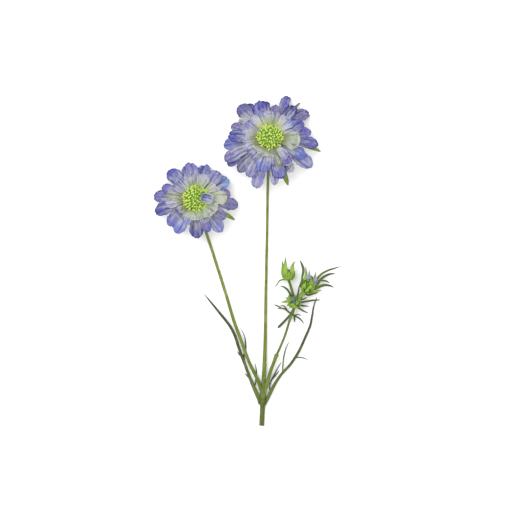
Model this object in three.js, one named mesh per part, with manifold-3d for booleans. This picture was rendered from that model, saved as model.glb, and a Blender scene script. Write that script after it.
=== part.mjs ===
/*
 * A cut spray of garden scabious, lying face up on a table. One stem forks into two open flower
 * heads and a side shoot with three buds, and two long divided leaves grow from the fork.
 *
 * Units are millimetres. +Z is up and the table is the plane Z = 0. The cut end of the stem
 * points to -Y and the flower heads to +Y. Places are measured from the cut end of the stem, and
 * at the end the whole spray is moved so that the middle of its footprint is the origin.
 */
import * as THREE from "three";
import { mergeVertices } from "three/addons/utils/BufferGeometryUtils.js";
import Module from "manifold-3d";

const wasm = await Module();
wasm.setup();

const FOOTPRINT_MIDDLE = new THREE.Vector3(-13, 148.2, 0);
const UP = new THREE.Vector3(0, 0, 1);
const ACROSS = new THREE.Vector3(1, 0, 0);
const CLEARANCE = 0.3; // between a piece and the one it grows from

// Petals and bracts of a flower head lie in levels, one above the other like tiles.
const PETAL_THICKNESS = 0.7;
const LOWEST_LEVEL = -2; // height of level 0 at the core of the head
const LEVEL_STEP = 1.3;
const RISE = 0.15; // slope at which a petal leaves the core
const DROOP = 0.0135; // how fast a petal of level 0 bends down, per millimetre squared
const DROOP_STEP = 0.0025; // each level above bends down by this much less
const CUP = 0.9; // how far the edges of a petal stand above its middle
const TIP_ROUNDING = 0.14;
const BRACT_LEVEL = -1.2;
const LEAF_THICKNESS = 0.9; // of a bract too

// A flower head's own frame has its origin in the middle of the ring of petals, and +Z out of
// the face. Depths are below that origin and heights above it.
const NECK_DEPTH = 10; // the bottom of the receptacle, where the stem ends
const NECK_RADIUS = 1.9;
const CORE_HEIGHT = 3;
const DISC_RISE = 8;
const THROAT_HEIGHT = 3.6;
const THROAT_THICKNESS = 0.8;

/*
 * Petals, seen from above: [azimuth in degrees, anticlockwise from +X; reach of the tip from the
 * middle of the head; width; level]. Even levels are a little lower than the odd ones beside
 * them. Bracts are [azimuth, reach, width, level, extra slope].
 */
const LARGE_HEAD = {
  name: "large_head",
  place: new THREE.Vector3(7, 257.5, 23.6),
  tilt: 17, // from the vertical, towards the lean direction
  lean: 0, // of that tilt, anticlockwise from +Y
  droopScale: 1,
  coreRadius: 8.5,
  discRadius: 12.4,
  throat: { reach: 19.5, swing: 3.2, towards: 20, ruffles: 7 },
  petals: [
    [10, 37.5, 9.9, 1],
    [26, 33.3, 13.5, 2],
    [35, 42.8, 11.6, 0],
    [53, 36.9, 11, 3],
    [68, 42.8, 7.8, 1],
    [82, 31, 9, 2],
    [105, 35.4, 14.4, 3],
    [129, 39.8, 16.2, 0],
    [146, 32.5, 8.6, 1],
    [162, 36, 9.9, 2],
    [175, 36.9, 10, 3],
    [186, 41.4, 11.7, 0],
    [202, 44.6, 11, 1],
    [209, 44.6, 8, 0],
    [225, 40.5, 10.4, 0],
    [240, 38.7, 9.5, 1],
    [255, 45.9, 10.8, 0],
    [257, 30.6, 12.6, 3],
    [276, 41.4, 7.6, 1],
    [286, 36.9, 13.5, 2],
    [304, 35.1, 7.6, 0],
    [308, 27, 8.5, 3],
    [326, 44.4, 11.7, 1],
    [331, 36, 11, 2],
    [353, 43.2, 9.5, 0],
  ],
  bracts: [
    [51, 43.5, 2.7, BRACT_LEVEL, 0.285],
    [95, 24, 5, BRACT_LEVEL, 0],
    [138, 21, 5, BRACT_LEVEL, 0],
    [195, 25, 5, BRACT_LEVEL, 0],
    [245, 27, 5, BRACT_LEVEL, 0],
    [291, 46, 4.6, BRACT_LEVEL, 0.1],
    [346, 47.2, 3.6, BRACT_LEVEL, 0.1],
  ],
};

const SMALL_HEAD = {
  name: "small_head",
  place: new THREE.Vector3(-59, 203, 21),
  tilt: 14,
  lean: 18,
  droopScale: 1.15,
  coreRadius: 8,
  discRadius: 12.2,
  throat: { reach: 17.5, swing: 1.5, towards: -20, ruffles: 6 },
  petals: [
    [11, 30.6, 9.9, 1],
    [31, 34.2, 11.7, 0],
    [50, 32.3, 12.6, 1],
    [77, 32, 9.9, 0],
    [99, 33.3, 14.4, 1],
    [130, 36, 12.6, 0],
    [161, 31.5, 8.5, 1],
    [177, 38.3, 10.8, 0],
    [196, 38.3, 10.2, 1],
    [221, 33.3, 10.8, 0],
    [240, 34.7, 10.8, 1],
    [271, 34, 10.4, 0],
    [289, 29.7, 8.1, 1],
    [306, 36, 10.8, 0],
    [328, 30.6, 8, 1],
    [352, 37.7, 10.8, 0],
  ],
  bracts: [
    [30, 23, 4.6, BRACT_LEVEL, 0],
    [80, 22, 4.6, BRACT_LEVEL, 0],
    [130, 23, 4.6, BRACT_LEVEL, 0],
    [180, 23, 4.6, BRACT_LEVEL, 0],
    [229, 32.5, 3.6, BRACT_LEVEL, 0.1],
    [285, 23, 4.6, BRACT_LEVEL, 0],
    [332, 39, 3.6, BRACT_LEVEL, 0.1],
  ],
};

/*
 * Stems: points along the middle, and the radius there. The two that carry a flower head go on
 * from these points up into its receptacle.
 */
const MAIN_STEM = [
  [-0.3, 0, 2.2, 2.2],
  [0.4, 14, 2.3, 2.1],
  [0.6, 20, 2.6, 2.4],
  [0.7, 25, 3.1, 3.1],
  [0.9, 31, 3.2, 2.4],
  [1.5, 41, 3.4, 1.8],
  [2.6, 68, 4.1, 1.6],
  [3.1, 95, 4.8, 1.4],
  [3.5, 122, 5.4, 1.3],
  [4.6, 176, 6.8, 1.2],
  [5.2, 214, 7.6, 1.2],
  [6.2, 243, 8.4, 1.3],
];
const LEFT_STEM = [
  [0, 30, 3.2, 1.6],
  [-3.8, 41, 3.5, 1.4],
  [-11.8, 57.5, 4, 1.35],
  [-19, 77, 4.2, 1.3],
  [-25.4, 94.5, 4.4, 1.2],
  [-32.4, 118, 4.6, 1.15],
  [-41.2, 146, 4.8, 1.1],
  [-50.4, 174.5, 5.1, 1.15],
  [-54.6, 188, 5.5, 1.2],
];
const SHOOT_SOCKET = [
  [1.4, 28, 3.2, 1.7],
  [5.4, 41, 4.1, 1.55],
  [8, 50, 4.8, 1.5],
  [10.7, 57.2, 5.4, 1.5],
  [13.2, 64.1, 6, 1.5],
];
const SHOOT_STEM = [
  [13.4, 64.6, 6, 0.95],
  [17.1, 72.5, 6.6, 0.95],
  [20.4, 80.6, 7, 0.95],
  [23, 88.7, 7.2, 0.95],
  [25.2, 95.9, 7.2, 1],
  [26.6, 100.4, 7.1, 1.5],
  [28.6, 104.2, 7, 1.3],
];

/*
 * Leaves: strips along a path of [x, y, z]. A divided leaf is a long strip with side lobes.
 */
const LEFT_LEAF = [
  { width: 3.2, path: [
    [-1.6, 24.6, 2.6], [-6.8, 33.5, 2.6], [-10.8, 43, 2.4], [-14.4, 52.5, 2], [-20.5, 69, 1.6],
    [-24.4, 81, 1.6], [-28.8, 89.5, 2], [-37.8, 101, 2.6], [-46.8, 112, 2.2], [-52.6, 119, 0.9],
  ] },
  { width: 1.6, path: [
    [-10.8, 43, 2.2], [-14.2, 53, 1.6], [-16.4, 62, 1.2], [-14.8, 69, 1.3], [-15.4, 79, 2.2],
    [-17.5, 84.5, 3], [-19.8, 88, 3.2],
  ] },
  { width: 1.3, path: [[-10.2, 41.5, 2.2], [-13, 44.5, 2.4], [-15.8, 47.2, 1.6]] },
  { width: 1.2, path: [[-18.6, 62, 1.7], [-20.8, 64.6, 2], [-22.4, 67, 1.4]] },
  { width: 1.2, path: [
    [-6.8, 34, 2.4], [-5.9, 39, 1.6], [-5.2, 44, 1], [-5, 49, 0.8], [-6.4, 57, 0.8],
  ] },
];
const RIGHT_LEAF = [
  { width: 2.9, path: [
    [3, 23.4, 2.6], [6.9, 28.6, 2.6], [9.9, 34.6, 2.5], [13.6, 41, 2.4], [17.2, 46, 2.3],
    [20.8, 50, 2.2], [25.4, 55, 2.2], [30.8, 63, 2.2], [34.2, 69, 2.4], [37.8, 77, 2.8],
    [41, 84.2, 3], [43.5, 90.6, 3], [45.2, 99.5, 2.6], [46.2, 106, 2], [49.5, 116, 0.9],
  ] },
  { width: 1.2, path: [[30, 61.2, 2.2], [34.2, 61.4, 2.6], [37.8, 60.8, 2.2], [41.8, 59, 1]] },
  { width: 1.3, path: [
    [18.4, 48.6, 2.2], [18.9, 56, 2.6], [19.8, 63, 3], [22, 70.8, 2.4], [25, 76.2, 1.2],
  ] },
  { width: 1.3, path: [
    [7.2, 29, 2.4], [7, 36.5, 1.8], [9.6, 43, 1.2], [12.8, 49.2, 1], [17.4, 57.6, 1],
  ] },
  { width: 1.1, path: [[9.4, 41.6, 1.3], [12.8, 46, 0.9], [15.8, 50, 0.9]] },
];
const WHORL_LEAVES = {
  whorl_leaf_blunt: [{ width: 2.1, path: [[25, 99.2, 5], [20, 93.7, 3.6], [14.4, 88.4, 1.6]] }],
  whorl_leaf_forked: [
    { width: 1.5, path: [
      [25, 101.5, 5.2], [20.7, 104.9, 4.6], [17.1, 105.6, 3.6], [13.5, 104.9, 1.8],
    ] },
    { width: 1.2, path: [[17.6, 105.6, 3.8], [14.4, 107.4, 2.6], [10.6, 109.1, 1]] },
    { width: 1.1, path: [[23.2, 103, 5], [21.1, 106.3, 5.4], [19.2, 107.8, 5], [15.8, 107.7, 3.6]] },
  ],
  whorl_leaf_right: [
    { width: 1.4, path: [[28.2, 99.4, 5.2], [33.3, 96.8, 4.4], [36, 94.1, 2.8], [37.8, 91.4, 0.9]] },
    { width: 1, path: [[28.8, 99.2, 5.2], [32.4, 100.1, 4.4], [35.8, 98.8, 3]] },
    { width: 1.3, path: [[28.8, 99.2, 4.9], [29.2, 96, 3.4], [29.3, 92.7, 1.2]] },
  ],
};

/*
 * Buds: an egg with its axis from base to crown, on a stalk, with narrow bracts around it.
 */
const LOWER_BUD = {
  base: new THREE.Vector3(29.6, 105.9, 6.2),
  crown: new THREE.Vector3(28.8, 116.8, 11.4),
  radius: 5.3,
  stalk: null,
  bracts: [
    { width: 1.7, path: [[32.6, 110.4, 6], [40.5, 111.9, 5], [45.9, 112.8, 4], [53.6, 113.1, 2.4]] },
    { width: 1.5, path: [[31, 108.6, 5.4], [37.8, 107.8, 4.2], [42.3, 107.3, 2.8]] },
    { width: 1.5, path: [[30.4, 107.6, 5], [36.9, 103.4, 3.6], [41.9, 101.1, 1.8]] },
    { width: 1.6, path: [[31, 113, 7], [36.6, 113.8, 7.4], [40.7, 115.5, 6.4]] },
    { width: 1.8, path: [
      [27.6, 113, 6], [24, 120.8, 5.4], [21.2, 123.8, 5], [18.9, 125, 4.2], [16.2, 125.6, 3],
    ] },
    { width: 2.2, path: [[28, 110.5, 6], [24, 112.3, 7.6], [20.7, 111.5, 7], [16.6, 111.2, 5.2]] },
    { width: 2.2, path: [[28, 111.5, 7.4], [24, 114.2, 9.4], [20.8, 115.3, 9]] },
    { width: 2.2, path: [[28, 108.6, 6.4], [24.6, 109.2, 7.4], [22.2, 107.6, 6.4]] },
    { width: 2.8, path: [[31, 107, 7.6], [33.9, 110.2, 10.4], [34.2, 114.4, 13]] },
    { width: 1.5, path: [[30.6, 113.6, 5.6], [32.6, 119.6, 5], [33.2, 123.5, 5], [34.2, 128, 5.8]] },
  ],
};
const UPPER_BUD = {
  base: new THREE.Vector3(23.8, 130.6, 6.4),
  crown: new THREE.Vector3(23.4, 140.6, 7.8),
  radius: 4.6,
  stalk: { radius: 1.2, path: [[27.6, 118.8, 6.8], [26.1, 124.2, 6.4], [23.8, 131.6, 6.4]] },
  bracts: [
    { width: 2.8, path: [
      [22.4, 131.8, 7.6], [19.2, 136.6, 9], [18.9, 142.8, 9.4], [17.9, 149.2, 8.6],
    ] },
    { width: 2.6, path: [
      [23, 132.6, 9.6], [21.2, 138.6, 11.8], [20.9, 146, 11.2], [21.5, 152.8, 9.2],
    ] },
    { width: 3, path: [
      [25, 132, 9], [27, 137.6, 10.6], [27.2, 142.8, 10.4], [28.5, 146.4, 9.8], [30.6, 148, 9],
    ] },
    { width: 2.8, path: [[24.6, 131, 6.6], [28.6, 133.4, 7.2], [29.2, 137.4, 7.6]] },
    { width: 2.4, path: [[23, 131, 6], [18.8, 133, 6], [17.8, 137.8, 6.4]] },
    { width: 1.1, path: [
      [22.6, 131.2, 5.4], [18, 131.2, 4.6], [15.6, 130.2, 4], [13.8, 127.5, 3], [11.4, 124.7, 1.2],
    ] },
    { width: 4.4, path: [[24, 131.4, 8.6], [24, 135.2, 11.8], [23.9, 140, 12]] },
    { width: 3, path: [[23.6, 131, 4.4], [23.2, 136.5, 2.2], [22.6, 142.4, 1.6]] },
  ],
};
const FLOWERING_BUD = {
  base: new THREE.Vector3(38.6, 119.8, 7.4),
  crown: new THREE.Vector3(43.6, 135, 10.6),
  radius: 6.3,
  stalk: { radius: 1.7, path: [[34.6, 116.6, 7], [36.4, 118.6, 7.2], [39.4, 122, 7.6]] },
  bracts: [
    { width: 2.9, path: [
      [38, 121, 7.4], [35.6, 126, 7.6], [36, 133, 8.4], [37.2, 140, 8.6], [36, 144.6, 7.8],
      [34, 149, 6.4],
    ] },
    { width: 2.6, path: [[39.4, 122, 9.4], [38.6, 128.6, 13], [39.6, 137, 13.6], [39, 143.8, 12.4]] },
    { width: 3.4, path: [[40.4, 121.4, 9.6], [43.6, 127.4, 14.2], [44.9, 134.6, 14.6]] },
    { width: 2.4, path: [[41, 122, 8.6], [46.6, 129, 11.4], [47.6, 135, 11.8], [48.7, 139.2, 11]] },
    { width: 2, path: [
      [41, 122.4, 7], [48, 130.2, 8], [53.1, 136.1, 8.4], [59.4, 139.7, 7.6], [65.3, 141.6, 5.6],
      [71.1, 143.4, 2.4],
    ] },
    { width: 2.5, path: [
      [40.6, 121, 6.4], [47.9, 125.4, 6.2], [52.2, 131, 6.2], [56.7, 134.6, 5.6],
      [61.2, 136.4, 4.4], [66, 136.9, 2.4],
    ] },
    { width: 1.4, path: [[52, 130.6, 6.2], [57.6, 130.1, 4.6], [60.9, 128.3, 2.6]] },
    { width: 2.3, path: [
      [40.4, 120.6, 6], [49.5, 123.9, 5], [53.1, 125.7, 4.6], [57.6, 126.5, 4], [62.1, 125.6, 2.8],
      [64.8, 124.1, 1.2],
    ] },
    { width: 2.4, path: [[39.6, 119.8, 7.2], [45, 120.8, 7.6], [48.6, 121.1, 6.8], [54, 121.7, 5]] },
    { width: 1.8, path: [[38, 119, 5.6], [41.4, 117.5, 4.6], [45.9, 118.8, 3.4], [50.4, 119.8, 1.6]] },
  ],
};

// The small petal of the small head that has curled back over the disc: [along, height] points.
const CURLED_PETAL = {
  azimuth: -12,
  width: 7.4,
  profile: [[15.6, 7.4], [17.4, 10.4], [15.8, 13], [12, 13.8], [8, 13.6], [5.2, 13.2]],
};

const MATERIALS = {
  petal: new THREE.MeshStandardMaterial({ color: 0x8685c9, roughness: 0.75, side: THREE.DoubleSide }),
  inner: new THREE.MeshStandardMaterial({ color: 0xc9cfc0, roughness: 0.75 }),
  disc: new THREE.MeshStandardMaterial({ color: 0x8fc02f, roughness: 0.7 }),
  bract: new THREE.MeshStandardMaterial({ color: 0x86a83e, roughness: 0.65 }),
  stem: new THREE.MeshStandardMaterial({ color: 0x76853f, roughness: 0.6 }),
  leaf: new THREE.MeshStandardMaterial({ color: 0x56653a, roughness: 0.65 }),
  bud: new THREE.MeshStandardMaterial({ color: 0x82b13a, roughness: 0.65 }),
};

// A closed body through rings that all have the same even number of points. The rings turn
// anticlockwise about the way they run. An open row of rings gets a flat cap at each end.
function loft(rings, joinsEnds = false) {
  const count = rings[0].length;
  const faces = [];
  const quad = (a, b, c, d) => faces.push(a, b, c, a, c, d);
  const spans = joinsEnds ? rings.length : rings.length - 1;
  for (let i = 0; i < spans; i++) {
    const near = i * count;
    const far = ((i + 1) % rings.length) * count;
    for (let j = 0; j < count; j++) {
      const next = (j + 1) % count;
      quad(near + j, near + next, far + next, far + j);
    }
  }
  if (!joinsEnds) {
    const last = (rings.length - 1) * count;
    for (let j = 0; j < count / 2 - 1; j++) {
      quad(j, count - 1 - j, count - 2 - j, j + 1);
      quad(last + j, last + j + 1, last + count - 2 - j, last + count - 1 - j);
    }
  }
  const geometry = new THREE.BufferGeometry().setFromPoints(rings.flat());
  geometry.setIndex(faces);
  return geometry;
}

// A strip or stem along a smooth curve. section(t) gives its half width and half height there,
// and hint is the way its height points as far as the curve lets it.
function sweep(points, section, { sides, steps, hint }) {
  const curve = new THREE.CatmullRomCurve3(points, false, "centripetal");
  const rings = [];
  for (let i = 0; i <= steps; i++) {
    const t = i / steps;
    const centre = curve.getPointAt(t);
    const along = curve.getTangentAt(t);
    const upward = hint.clone().addScaledVector(along, -hint.dot(along)).normalize();
    const sideways = upward.clone().cross(along);
    const [halfWidth, halfHeight] = section(t);
    const ring = [];
    for (let j = 0; j < sides; j++) {
      const turn = (j / sides) * Math.PI * 2;
      ring.push(centre.clone()
        .addScaledVector(sideways, halfWidth * Math.cos(turn))
        .addScaledVector(upward, halfHeight * Math.sin(turn)));
    }
    rings.push(ring);
  }
  return loft(rings);
}

// A round stem through [x, y, z, radius] rows.
function stemGeometry(rows, sides = 8) {
  const points = rows.map(([x, y, z]) => new THREE.Vector3(x, y, z));
  const lengths = [0];
  for (let i = 1; i < points.length; i++) {
    lengths.push(lengths[i - 1] + points[i].distanceTo(points[i - 1]));
  }
  const radiusAt = (t) => {
    const along = t * lengths.at(-1);
    const next = Math.max(1, lengths.findIndex((length) => length >= along - 1e-6));
    const share = (along - lengths[next - 1]) / (lengths[next] - lengths[next - 1]);
    return THREE.MathUtils.lerp(rows[next - 1][3], rows[next][3], Math.min(1, share));
  };
  const steps = Math.max(6, Math.round(rows.length * 1.6));
  return sweep(points, (t) => [radiusAt(t), radiusAt(t)], { sides, steps, hint: ACROSS });
}

// A narrow leaf or bract that keeps its width for most of its length and narrows to its tip.
function stripGeometry({ width, path }) {
  const points = path.map((p) => new THREE.Vector3(...p));
  const halfWidth = (t) => (width / 2) * (1 - 0.75 * t ** 3);
  const section = (t) => [halfWidth(t), Math.min(LEAF_THICKNESS / 2, halfWidth(t))];
  return sweep(points, section, { sides: 4, steps: path.length * 2, hint: UP });
}

function solidOf(geometry) {
  const bare = new THREE.BufferGeometry().setAttribute("position", geometry.getAttribute("position"));
  bare.setIndex(geometry.index);
  const merged = mergeVertices(bare, 1e-3);
  return new wasm.Manifold(new wasm.Mesh({
    numProp: 3,
    vertProperties: merged.attributes.position.array,
    triVerts: new Uint32Array(merged.index.array),
  }));
}

function geometryOf(solid) {
  const { vertProperties, triVerts } = solid.getMesh();
  const geometry = new THREE.BufferGeometry();
  geometry.setAttribute("position", new THREE.BufferAttribute(vertProperties, 3));
  geometry.setIndex(new THREE.BufferAttribute(triVerts, 1));
  return geometry;
}

// One body made of several that run into each other.
function join(geometries) {
  return geometryOf(geometries.map(solidOf).reduce((whole, piece) => whole.add(piece)));
}

// The largest part of a body that is left when the others are cut out of it.
function cutAway(geometry, ...cutters) {
  const rest = cutters.reduce((solid, cutter) => solid.subtract(solidOf(cutter)), solidOf(geometry));
  const largest = rest.decompose().sort((a, b) => b.volume() - a.volume())[0];
  return geometryOf(largest);
}

// A turned body from [radius, height] points that start and end on the axis, lowest first.
function turned(profile, segments) {
  const points = profile.map(([radius, height]) => new THREE.Vector2(radius, height));
  return new THREE.LatheGeometry(points, segments).rotateX(Math.PI / 2);
}

// A mesh of one piece, named as its node.
function piece(name, geometry, material) {
  const mesh = new THREE.Mesh(geometry, material);
  mesh.name = name;
  geometry.computeVertexNormals();
  return mesh;
}

function levelHeight(along, level, droopScale) {
  const droop = (DROOP - DROOP_STEP * level) * droopScale;
  return LOWEST_LEVEL + LEVEL_STEP * level + RISE * along - droop * along ** 2;
}

// How wide a petal is along its length, as a share of its width: a claw, then a broad blade.
function breadth(u) {
  const claw = 0.2;
  return claw + (1 - claw) * Math.sin(Math.PI * 0.68 * u ** 1.35);
}

// A petal in its own frame: it starts at the origin and runs along +X.
function petalGeometry(length, width, level, droopScale) {
  const steps = 6;
  const halfCount = 2;
  const rings = [];
  for (let i = 0; i <= steps; i++) {
    const u = i / steps;
    const bottom = [];
    const top = [];
    for (let k = -halfCount; k <= halfCount; k++) {
      const v = k / halfCount;
      const x = length * u * (1 - TIP_ROUNDING * (v * u) ** 2);
      const y = (v * breadth(u) * width) / 2;
      const z = levelHeight(x, level, droopScale) + CUP * (v * u) ** 2;
      bottom.push(new THREE.Vector3(x, y, z - PETAL_THICKNESS / 2));
      top.unshift(new THREE.Vector3(x, y, z + PETAL_THICKNESS / 2));
    }
    rings.push([...bottom, ...top]);
  }
  return loft(rings);
}

// Where a blade's tip lies in the head's own frame, if it is seen from above at this azimuth and
// reach, and is this high in the head's own frame.
function tipInHead(head, azimuth, reach, height) {
  const axis = UP.clone().applyQuaternion(head.quaternion);
  const turn = THREE.MathUtils.degToRad(azimuth);
  const tip = new THREE.Vector3(reach * Math.cos(turn), reach * Math.sin(turn), 0);
  tip.z = (height - axis.dot(tip)) / axis.z;
  return tip.applyQuaternion(head.quaternion.clone().invert());
}

function petalMesh(head, spec, [azimuth, reach, width, level], number) {
  const start = spec.coreRadius + CLEARANCE + 0.1;
  const drop = levelHeight(reach - start, level, spec.droopScale);
  const tip = tipInHead(head, azimuth, reach, drop);
  const length = Math.hypot(tip.x, tip.y) - start;
  const geometry = petalGeometry(length, width, level, spec.droopScale);
  const mesh = piece(`${spec.name}_petal_${String(number).padStart(2, "0")}`, geometry, MATERIALS.petal);
  mesh.rotation.z = Math.atan2(tip.y, tip.x);
  mesh.position.set(start, 0, 0).applyEuler(mesh.rotation);
  return mesh;
}

// The core that carries the petals, its cup underneath, and the bracts of the cup.
function involucreGeometry(head, spec) {
  const { coreRadius, droopScale } = spec;
  const core = turned([
    [0, -NECK_DEPTH],
    [NECK_RADIUS, -NECK_DEPTH],
    [NECK_RADIUS + 0.7, -NECK_DEPTH + 1.6],
    [coreRadius * 0.76, -5.6],
    [coreRadius * 0.96, -3.9],
    [coreRadius, -2.9],
    [coreRadius, CORE_HEIGHT],
    [0, CORE_HEIGHT],
  ], 16);
  const root = coreRadius - 1.5; // bracts start inside the core
  const bracts = spec.bracts.map(([azimuth, reach, width, level, slope]) => {
    const heightAt = (along) => levelHeight(along, level, droopScale) + slope * along;
    const tip = tipInHead(head, azimuth, reach, heightAt(reach - root));
    const away = new THREE.Vector3(tip.x, tip.y, 0).normalize();
    const length = Math.hypot(tip.x, tip.y) - root;
    const path = [0, 0.3, 0.6, 0.8, 1].map((u) => [
      away.x * (root + u * length), away.y * (root + u * length), heightAt(u * length)]);
    return stripGeometry({ width, path });
  });
  return join([core, ...bracts]);
}

// The domed pincushion of small florets in the middle.
function discGeometry({ discRadius }) {
  const floor = CORE_HEIGHT + CLEARANCE;
  return turned([
    [0, floor],
    [discRadius * 0.96, floor],
    [discRadius, floor + DISC_RISE * 0.15],
    [discRadius * 0.93, floor + DISC_RISE * 0.5],
    [discRadius * 0.66, floor + DISC_RISE * 0.84],
    [discRadius * 0.33, floor + DISC_RISE * 0.97],
    [0, floor + DISC_RISE],
  ], 20);
}

// The frill of short pale inner petals that stands round the disc like a shallow funnel.
function throatGeometry({ discRadius, throat }) {
  const inner = discRadius + CLEARANCE + 0.2;
  const segments = 36;
  const shares = [0, 0.35, 0.7, 1];
  const rings = [];
  for (let i = 0; i < segments; i++) {
    const turn = (i / segments) * Math.PI * 2;
    const swing = throat.swing * Math.cos(turn - THREE.MathUtils.degToRad(throat.towards));
    const outer = throat.reach + swing + 0.8 * Math.cos(throat.ruffles * turn);
    const at = (share, lift) => {
      const radius = THREE.MathUtils.lerp(inner, outer, share);
      const height = THROAT_HEIGHT + 3 * share + 0.5 * share * Math.sin(throat.ruffles * turn) + lift;
      return new THREE.Vector3(radius * Math.cos(turn), radius * Math.sin(turn), height);
    };
    const top = shares.map((share) => at(share, THROAT_THICKNESS));
    const bottom = shares.map((share) => at(share, 0)).reverse();
    rings.push([...top, ...bottom]);
  }
  return loft(rings, true);
}

function curledPetalGeometry() {
  const { width, profile } = CURLED_PETAL;
  const points = profile.map(([along, height]) => new THREE.Vector3(along, 0, height));
  const section = (t) => [(width / 2) * (0.5 + 0.5 * Math.sin(Math.PI * Math.min(1, t * 0.85))), 0.35];
  const outward = new THREE.Vector3(1, 0, 0.4).normalize();
  return sweep(points, section, { sides: 8, steps: 8, hint: outward });
}

function flowerHead(spec) {
  const head = new THREE.Group();
  head.position.copy(spec.place);
  head.rotation.order = "ZXY";
  head.rotation.set(-THREE.MathUtils.degToRad(spec.tilt), 0, THREE.MathUtils.degToRad(spec.lean));
  head.add(piece(`${spec.name}_involucre`, involucreGeometry(head, spec), MATERIALS.bract));
  head.add(piece(`${spec.name}_disc`, discGeometry(spec), MATERIALS.disc));
  head.add(piece(`${spec.name}_throat`, throatGeometry(spec), MATERIALS.inner));
  spec.petals.forEach((row, i) => head.add(petalMesh(head, spec, row, i + 1)));
  head.updateMatrixWorld(true);
  return head;
}

// The last rows of a stem, which turn up into the receptacle of the head that it carries.
function neckRows(head) {
  const at = (depth, radius) => [...head.localToWorld(new THREE.Vector3(0, 0, -depth)).toArray(), radius];
  return [at(NECK_DEPTH + 2.6, 1.35), at(NECK_DEPTH + CLEARANCE, 1.6)];
}

// The egg of a bud, with its axis from base to crown.
function eggGeometry({ base, crown, radius }) {
  const length = base.distanceTo(crown);
  const egg = turned([
    [0, 0],
    [radius * 0.5, length * 0.04],
    [radius * 0.9, length * 0.25],
    [radius, length * 0.5],
    [radius * 0.8, length * 0.82],
    [radius * 0.42, length * 0.97],
    [0, length],
  ], 12);
  const pointing = new THREE.Quaternion().setFromUnitVectors(UP, crown.clone().sub(base).normalize());
  return egg.applyQuaternion(pointing).translate(base.x, base.y, base.z);
}

function wholeBudGeometry(bud) {
  const stalk = bud.stalk ? [stemGeometry(bud.stalk.path.map((p) => [...p, bud.stalk.radius]))] : [];
  return join([eggGeometry(bud), ...stalk, ...bud.bracts.map(stripGeometry)]);
}

// The room that a stem needs round it, for cutting away what would touch it.
function roomRound(rows) {
  return stemGeometry(rows.map(([x, y, z, radius]) => [x, y, z, radius + CLEARANCE]), 12);
}

const largeHead = flowerHead(LARGE_HEAD);
const smallHead = flowerHead(SMALL_HEAD);
const curledPetal = piece("small_head_curled_petal", curledPetalGeometry(), MATERIALS.petal);
curledPetal.rotation.z = THREE.MathUtils.degToRad(CURLED_PETAL.azimuth - SMALL_HEAD.lean);
smallHead.add(curledPetal);

const mainStemRows = [...MAIN_STEM, ...neckRows(largeHead)];
const leftStemRows = [...LEFT_STEM, ...neckRows(smallHead)];
const mainStemRoom = roomRound(mainStemRows);
const leftStemRoom = roomRound(leftStemRows);
const socketRoom = roomRound(SHOOT_SOCKET);
const shootStemRoom = roomRound(SHOOT_STEM);

const leftStem = cutAway(stemGeometry(leftStemRows), mainStemRoom);
const shootSocket = cutAway(stemGeometry(SHOOT_SOCKET), mainStemRoom, leftStemRoom);
const shootStem = cutAway(stemGeometry(SHOOT_STEM), socketRoom);
const leftLeaf = cutAway(join(LEFT_LEAF.map(stripGeometry)), mainStemRoom, leftStemRoom);
const rightLeaf = cutAway(join(RIGHT_LEAF.map(stripGeometry)), mainStemRoom, socketRoom);
const lowerBud = cutAway(wholeBudGeometry(LOWER_BUD), shootStemRoom);
const upperBud = cutAway(wholeBudGeometry(UPPER_BUD), lowerBud);
const floweringBud = cutAway(wholeBudGeometry(FLOWERING_BUD), lowerBud, upperBud);

const spray = new THREE.Group();
spray.add(largeHead, smallHead);
spray.add(piece("main_stem", stemGeometry(mainStemRows), MATERIALS.stem));
spray.add(piece("left_stem", leftStem, MATERIALS.stem));
spray.add(piece("shoot_socket", shootSocket, MATERIALS.stem));
spray.add(piece("shoot_stem", shootStem, MATERIALS.stem));
spray.add(piece("left_leaf", leftLeaf, MATERIALS.leaf));
spray.add(piece("right_leaf", rightLeaf, MATERIALS.leaf));
for (const [name, strips] of Object.entries(WHORL_LEAVES)) {
  spray.add(piece(name, cutAway(join(strips.map(stripGeometry)), shootStemRoom), MATERIALS.leaf));
}
spray.add(piece("lower_bud", lowerBud, MATERIALS.bud));
spray.add(piece("upper_bud", upperBud, MATERIALS.bud));
spray.add(piece("flowering_bud", floweringBud, MATERIALS.bud));
spray.position.copy(FOOTPRINT_MIDDLE).negate();

export default spray;
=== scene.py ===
"""A cut spray of garden scabious, lying face up on a pale table, seen from straight above.

Shapes are worked out in millimetres. Stems, leaves and buds are placed from the cut end of the
stem, as in the part, and petals in the frame of their own flower head. Every mesh is written in
metres, in the frame of the CAD model.
"""
import math
import random
from collections import namedtuple

import bpy
import numpy as np
from mathutils import Matrix, Vector, noise


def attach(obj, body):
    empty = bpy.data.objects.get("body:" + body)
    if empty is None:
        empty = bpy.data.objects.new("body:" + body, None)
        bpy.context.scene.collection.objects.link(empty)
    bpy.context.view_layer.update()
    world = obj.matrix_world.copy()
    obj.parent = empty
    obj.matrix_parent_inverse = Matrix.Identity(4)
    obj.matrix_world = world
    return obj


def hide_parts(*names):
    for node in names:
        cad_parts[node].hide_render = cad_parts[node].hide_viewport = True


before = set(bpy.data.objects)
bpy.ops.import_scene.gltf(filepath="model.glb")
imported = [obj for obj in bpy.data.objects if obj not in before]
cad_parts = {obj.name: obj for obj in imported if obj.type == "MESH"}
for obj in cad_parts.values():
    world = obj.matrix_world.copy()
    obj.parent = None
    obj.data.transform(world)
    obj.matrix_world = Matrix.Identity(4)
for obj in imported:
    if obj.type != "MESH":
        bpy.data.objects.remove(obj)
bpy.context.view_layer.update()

MM = 0.001
BODY = "root"
SEED = 20
GOLDEN_ANGLE = math.pi * (3 - math.sqrt(5))
ACROSS, AWAY, UP = np.eye(3)
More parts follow.
